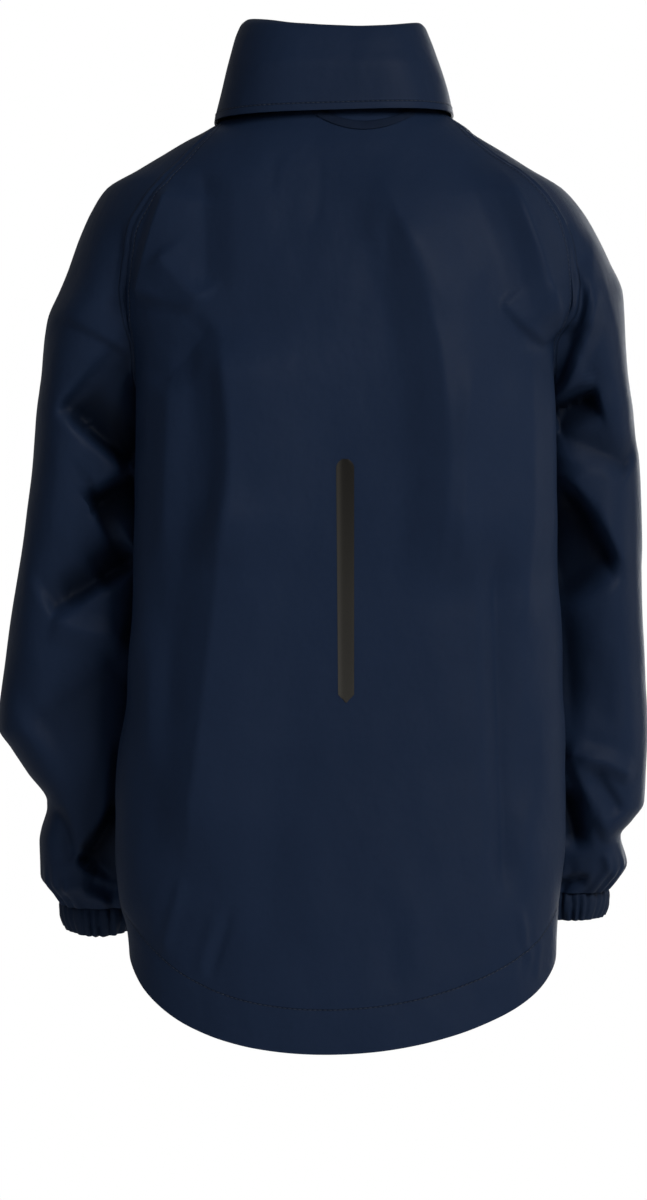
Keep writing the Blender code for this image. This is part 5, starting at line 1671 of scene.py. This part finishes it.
# =========================================================================== studio
def make_floor():
    """Plain pale floor, a disc well below the coat."""
    outline = ellipse((0.0, 0.0), FLOOR_RADIUS, FLOOR_RADIUS, full_turn(FLOOR_CORNERS))
    points = [(x, y, FLOOR_HEIGHT) for x, y in outline]
    mesh = bpy.data.meshes.new("floor")
    mesh.from_pydata(points, [], [tuple(range(len(points)))])
    surface = Shader("floor", FLOOR_COLOUR, roughness=0.8)
    surface.paint(surface.uneven(surface.noise(scale=3.0, detail=3.0), low=0.96, spread=0.06))
    mesh.materials.append(surface.material)
    add_object("floor", mesh)


def make_world():
    """White backdrop to the eye; to the cloth, a room that is bright behind the coat and dim before it."""
    world = bpy.data.worlds.new("studio")
    bpy.context.scene.world = world
    world.use_nodes = True
    tree = world.node_tree
    room = tree.nodes["Background"]
    room.inputs["Color"].default_value = (*ROOM_COLOUR, 1.0)
    place, parts, ramp, backdrop, path, mix = (
        tree.nodes.new("ShaderNode" + kind)
        for kind in ("TexCoord", "SeparateXYZ", "MapRange", "Background", "LightPath", "MixShader")
    )
    backdrop.inputs["Color"].default_value = (1.0, 1.0, 1.0, 1.0)
    ramp.interpolation_type = "SMOOTHSTEP"
    for name, value in ROOM_RANGE.items():
        ramp.inputs[name].default_value = value
    for output, target in (
        (place.outputs["Generated"], parts.inputs[0]),
        (parts.outputs["Y"], ramp.inputs["Value"]),
        (ramp.outputs[0], room.inputs["Strength"]),
        (path.outputs["Is Camera Ray"], mix.inputs[0]),
        (room.outputs[0], mix.inputs[1]),
        (backdrop.outputs[0], mix.inputs[2]),
        (mix.outputs[0], tree.nodes["World Output"].inputs["Surface"]),
    ):
        tree.links.new(output, target)


def add_light(name, place, power, size, colour):
    """Square soft box that points at the middle of the coat; places and sizes are in metres."""
    light = bpy.data.lights.new(name, "AREA")
    light.shape = "SQUARE"
    light.size = size
    light.energy = power
    light.color = colour
    made = add_object(name, light)
    made.location = place
    aim = Vector((0.0, 0.0, EYE_Z * MM)) - made.location
    made.rotation_euler = aim.to_track_quat("-Z", "Y").to_euler()


def add_camera():
    """Camera level with the middle of the back, three metres behind the coat."""
    camera = bpy.data.cameras.new("camera")
    camera.sensor_fit = "VERTICAL"
    camera.sensor_height = SENSOR
    camera.lens = SENSOR * EYE_Y / (FRAME_HEIGHT * PIXEL)
    made = add_object("camera", camera)
    made.location = Vector((EYE_X, EYE_Y, EYE_Z)) * MM
    made.rotation_euler = (math.radians(90.0), 0.0, math.radians(180.0))
    bpy.context.scene.camera = made


# =========================================================================== the coat and its room
body_cloth = cloth("navy_body_cloth", NAVY, CLOTH_ROUGHNESS)
sleeve_cloth = cloth("navy_sleeve_cloth", NAVY_SLEEVE, CLOTH_ROUGHNESS)
collar_cloth = cloth("navy_collar_cloth", NAVY_COLLAR, CLOTH_ROUGHNESS)
cuff_cloth = cloth("navy_cuff_cloth", NAVY_TRIM, roughness=0.6)
sewing_thread = thread_surface("navy_thread", THREAD, roughness=0.5)
dark_metal = metal("dark_satin_metal", ZIP_METAL, roughness=0.35)

make_panels(body_cloth, sleeve_cloth, sewing_thread)
make_cuff("cuff_left_cloth", "cuff_left", 1, LEFT_WRIST, LEFT_WRIST_TILT, LEFT_CUFF_LENGTH, cuff_cloth)
make_cuff("cuff_right_cloth", "cuff_right", -1, RIGHT_WRIST, RIGHT_WRIST_TILT, RIGHT_CUFF_LENGTH, cuff_cloth)
hanging_loop = make_loop(tape("navy_loop_tape", LOOP_NAVY, roughness=0.75, pitch=0.9, metres=0.0002))
make_collar(collar_cloth, sewing_thread)
make_strip(film("reflective_film", STRIP_GREY, roughness=0.4))
make_zip_tape(tape("navy_zip_tape", ZIP_TAPE_NAVY, roughness=0.7, pitch=1.0, metres=0.0003))
make_teeth(dark_metal)
make_slider(dark_metal)
make_box(dark_metal)
make_pull_tab(dark_metal)
make_floor()
make_world()
for light in LIGHTS:
    add_light(*light)
add_camera()
bpy.context.scene.view_settings.view_transform = "Standard"
